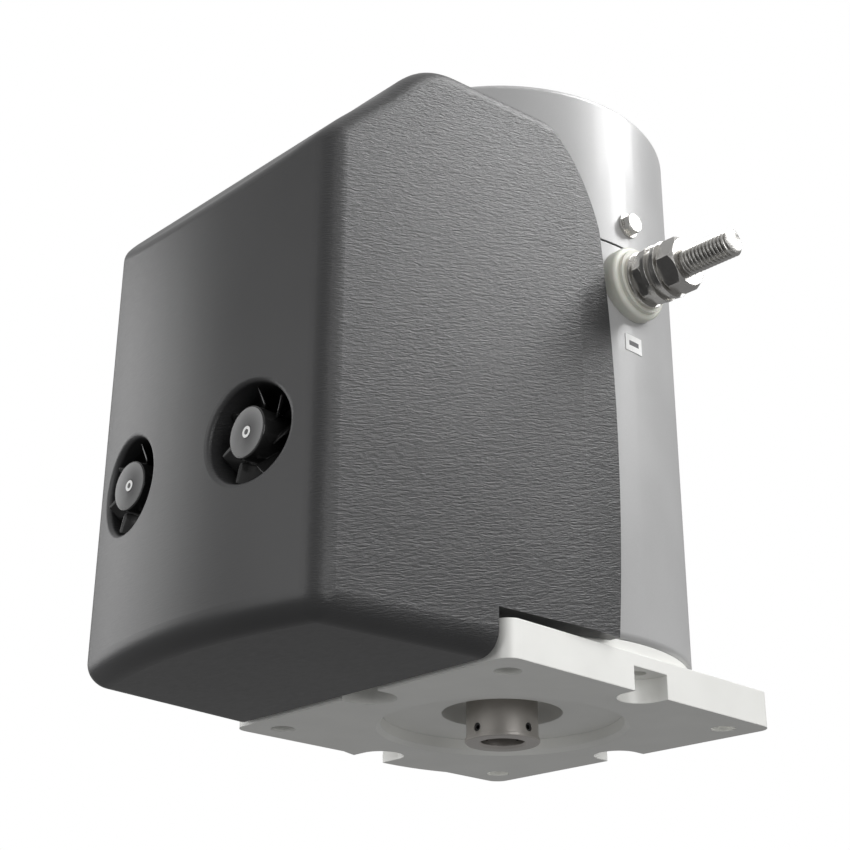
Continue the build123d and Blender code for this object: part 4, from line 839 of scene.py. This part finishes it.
def fan_ring(name, centre, front):
    """Plain ring printed in the middle of a hub disc."""
    ring = round_along_y(name, 64, RING_OUTER, 2 * PRINT_THICKNESS, (centre.x, front, centre.z))
    edit(ring)
    pick(ring, "faces", lambda p: abs(p.x - centre.x) + abs(p.z - centre.z) < MIDDLE_TOLERANCE)
    bpy.ops.mesh.inset(thickness=RING_OUTER - RING_INNER)
    bpy.ops.mesh.bridge_edge_loops()
    leave()
    smooth(ring, 35)
    return ring


# ---------------------------------------------------------------- studio
def place_camera():
    """Camera low in front of the cover's right corner, looking up."""
    back = Vector((
        math.sin(CAMERA_AZIMUTH) * math.cos(CAMERA_ELEVATION),
        -math.cos(CAMERA_AZIMUTH) * math.cos(CAMERA_ELEVATION),
        math.sin(CAMERA_ELEVATION),
    ))
    level_right = (-back).cross(Vector((0, 0, 1))).normalized()
    level_up = level_right.cross(-back)
    right = level_right * math.cos(CAMERA_ROLL) + level_up * math.sin(CAMERA_ROLL)
    up = level_up * math.cos(CAMERA_ROLL) - level_right * math.sin(CAMERA_ROLL)
    turn = Matrix((right, up, back)).transposed().to_4x4()
    data = bpy.data.cameras.new("camera")
    data.lens = LENS
    camera = bpy.data.objects.new("camera", data)
    camera.matrix_world = Matrix.Translation(CAMERA_PLACE) @ turn
    bpy.context.scene.collection.objects.link(camera)
    bpy.context.scene.camera = camera


def softbox(name, place, side, watts):
    """Soft square of light turned to the object."""
    data = bpy.data.lights.new(name, "AREA")
    data.shape = "RECTANGLE"
    data.size = side
    data.size_y = side
    data.energy = watts
    lamp = bpy.data.objects.new(name, data)
    lamp.location = place
    lamp.rotation_euler = (Vector(LIGHT_AIM) - Vector(place)).to_track_quat("-Z", "Y").to_euler()
    bpy.context.scene.collection.objects.link(lamp)


def light_studio():
    """White backdrop, soft light that grows from the ground to the zenith, and the softboxes."""
    world = bpy.data.worlds.new("studio")
    bpy.context.scene.world = world
    world.use_nodes = True
    nodes = world.node_tree.nodes
    links = world.node_tree.links
    fill = nodes["Background"]
    direction = nodes.new("ShaderNodeTexCoord")
    split = nodes.new("ShaderNodeSeparateXYZ")
    height = nodes.new("ShaderNodeMapRange")
    height.inputs["From Min"].default_value = -1.0
    bands = nodes.new("ShaderNodeValToRGB")
    while len(bands.color_ramp.elements) < len(SKY_BANDS):
        bands.color_ramp.elements.new(0.5)
    for element, (place, light) in zip(bands.color_ramp.elements, SKY_BANDS):
        element.position = place
        element.color = (light, light, light, 1.0)
    links.new(direction.outputs["Generated"], split.inputs[0])
    links.new(split.outputs["Z"], height.inputs["Value"])
    links.new(height.outputs["Result"], bands.inputs["Fac"])
    links.new(bands.outputs["Color"], fill.inputs["Color"])
    backdrop = nodes.new("ShaderNodeBackground")
    backdrop.inputs["Color"].default_value = (1, 1, 1, 1)
    backdrop.inputs["Strength"].default_value = 1.0
    seen = nodes.new("ShaderNodeLightPath")
    mix = nodes.new("ShaderNodeMixShader")
    links.new(seen.outputs["Is Camera Ray"], mix.inputs["Fac"])
    links.new(fill.outputs[0], mix.inputs[1])
    links.new(backdrop.outputs[0], mix.inputs[2])
    links.new(mix.outputs[0], nodes["World Output"].inputs["Surface"])
    for name, place, side, watts in SOFTBOXES:
        softbox(name, place, side, watts)
    bpy.context.scene.view_settings.view_transform = "Standard"


def lay_floor():
    """Plain pale floor well below the object; the studio's lower half stands for its bounced light."""
    floor = start("plane", "studio_floor", size=FLOOR_SIZE, location=(0, 0, -FLOOR_DROP))
    settle(floor)
    mix = Finish("floor_paint")
    cloud = mix.noise(3, 3)
    tint = mix.ramp(cloud, [(0.3, shade(FLOOR_COLOUR, 0.98)), (0.7, FLOOR_COLOUR)])
    floor.data.materials.append(mix.done(tint, mix.level(cloud, 0.75, 0.85)))
    floor.visible_diffuse = False
    floor.visible_glossy = False


def build_looks():
    """Finishes, detailed pieces and studio."""
    finishes = make_finishes()
    disc_finish = hub_satin_with_rim_highlight()
    dress_frame(finishes)
    threaded_studs(finishes)
    spring_washers(finishes)
    for side in ("left", "right"):
        fan_wheel(side, finishes, disc_finish)
    place_camera()
    light_studio()
    lay_floor()


build_looks()
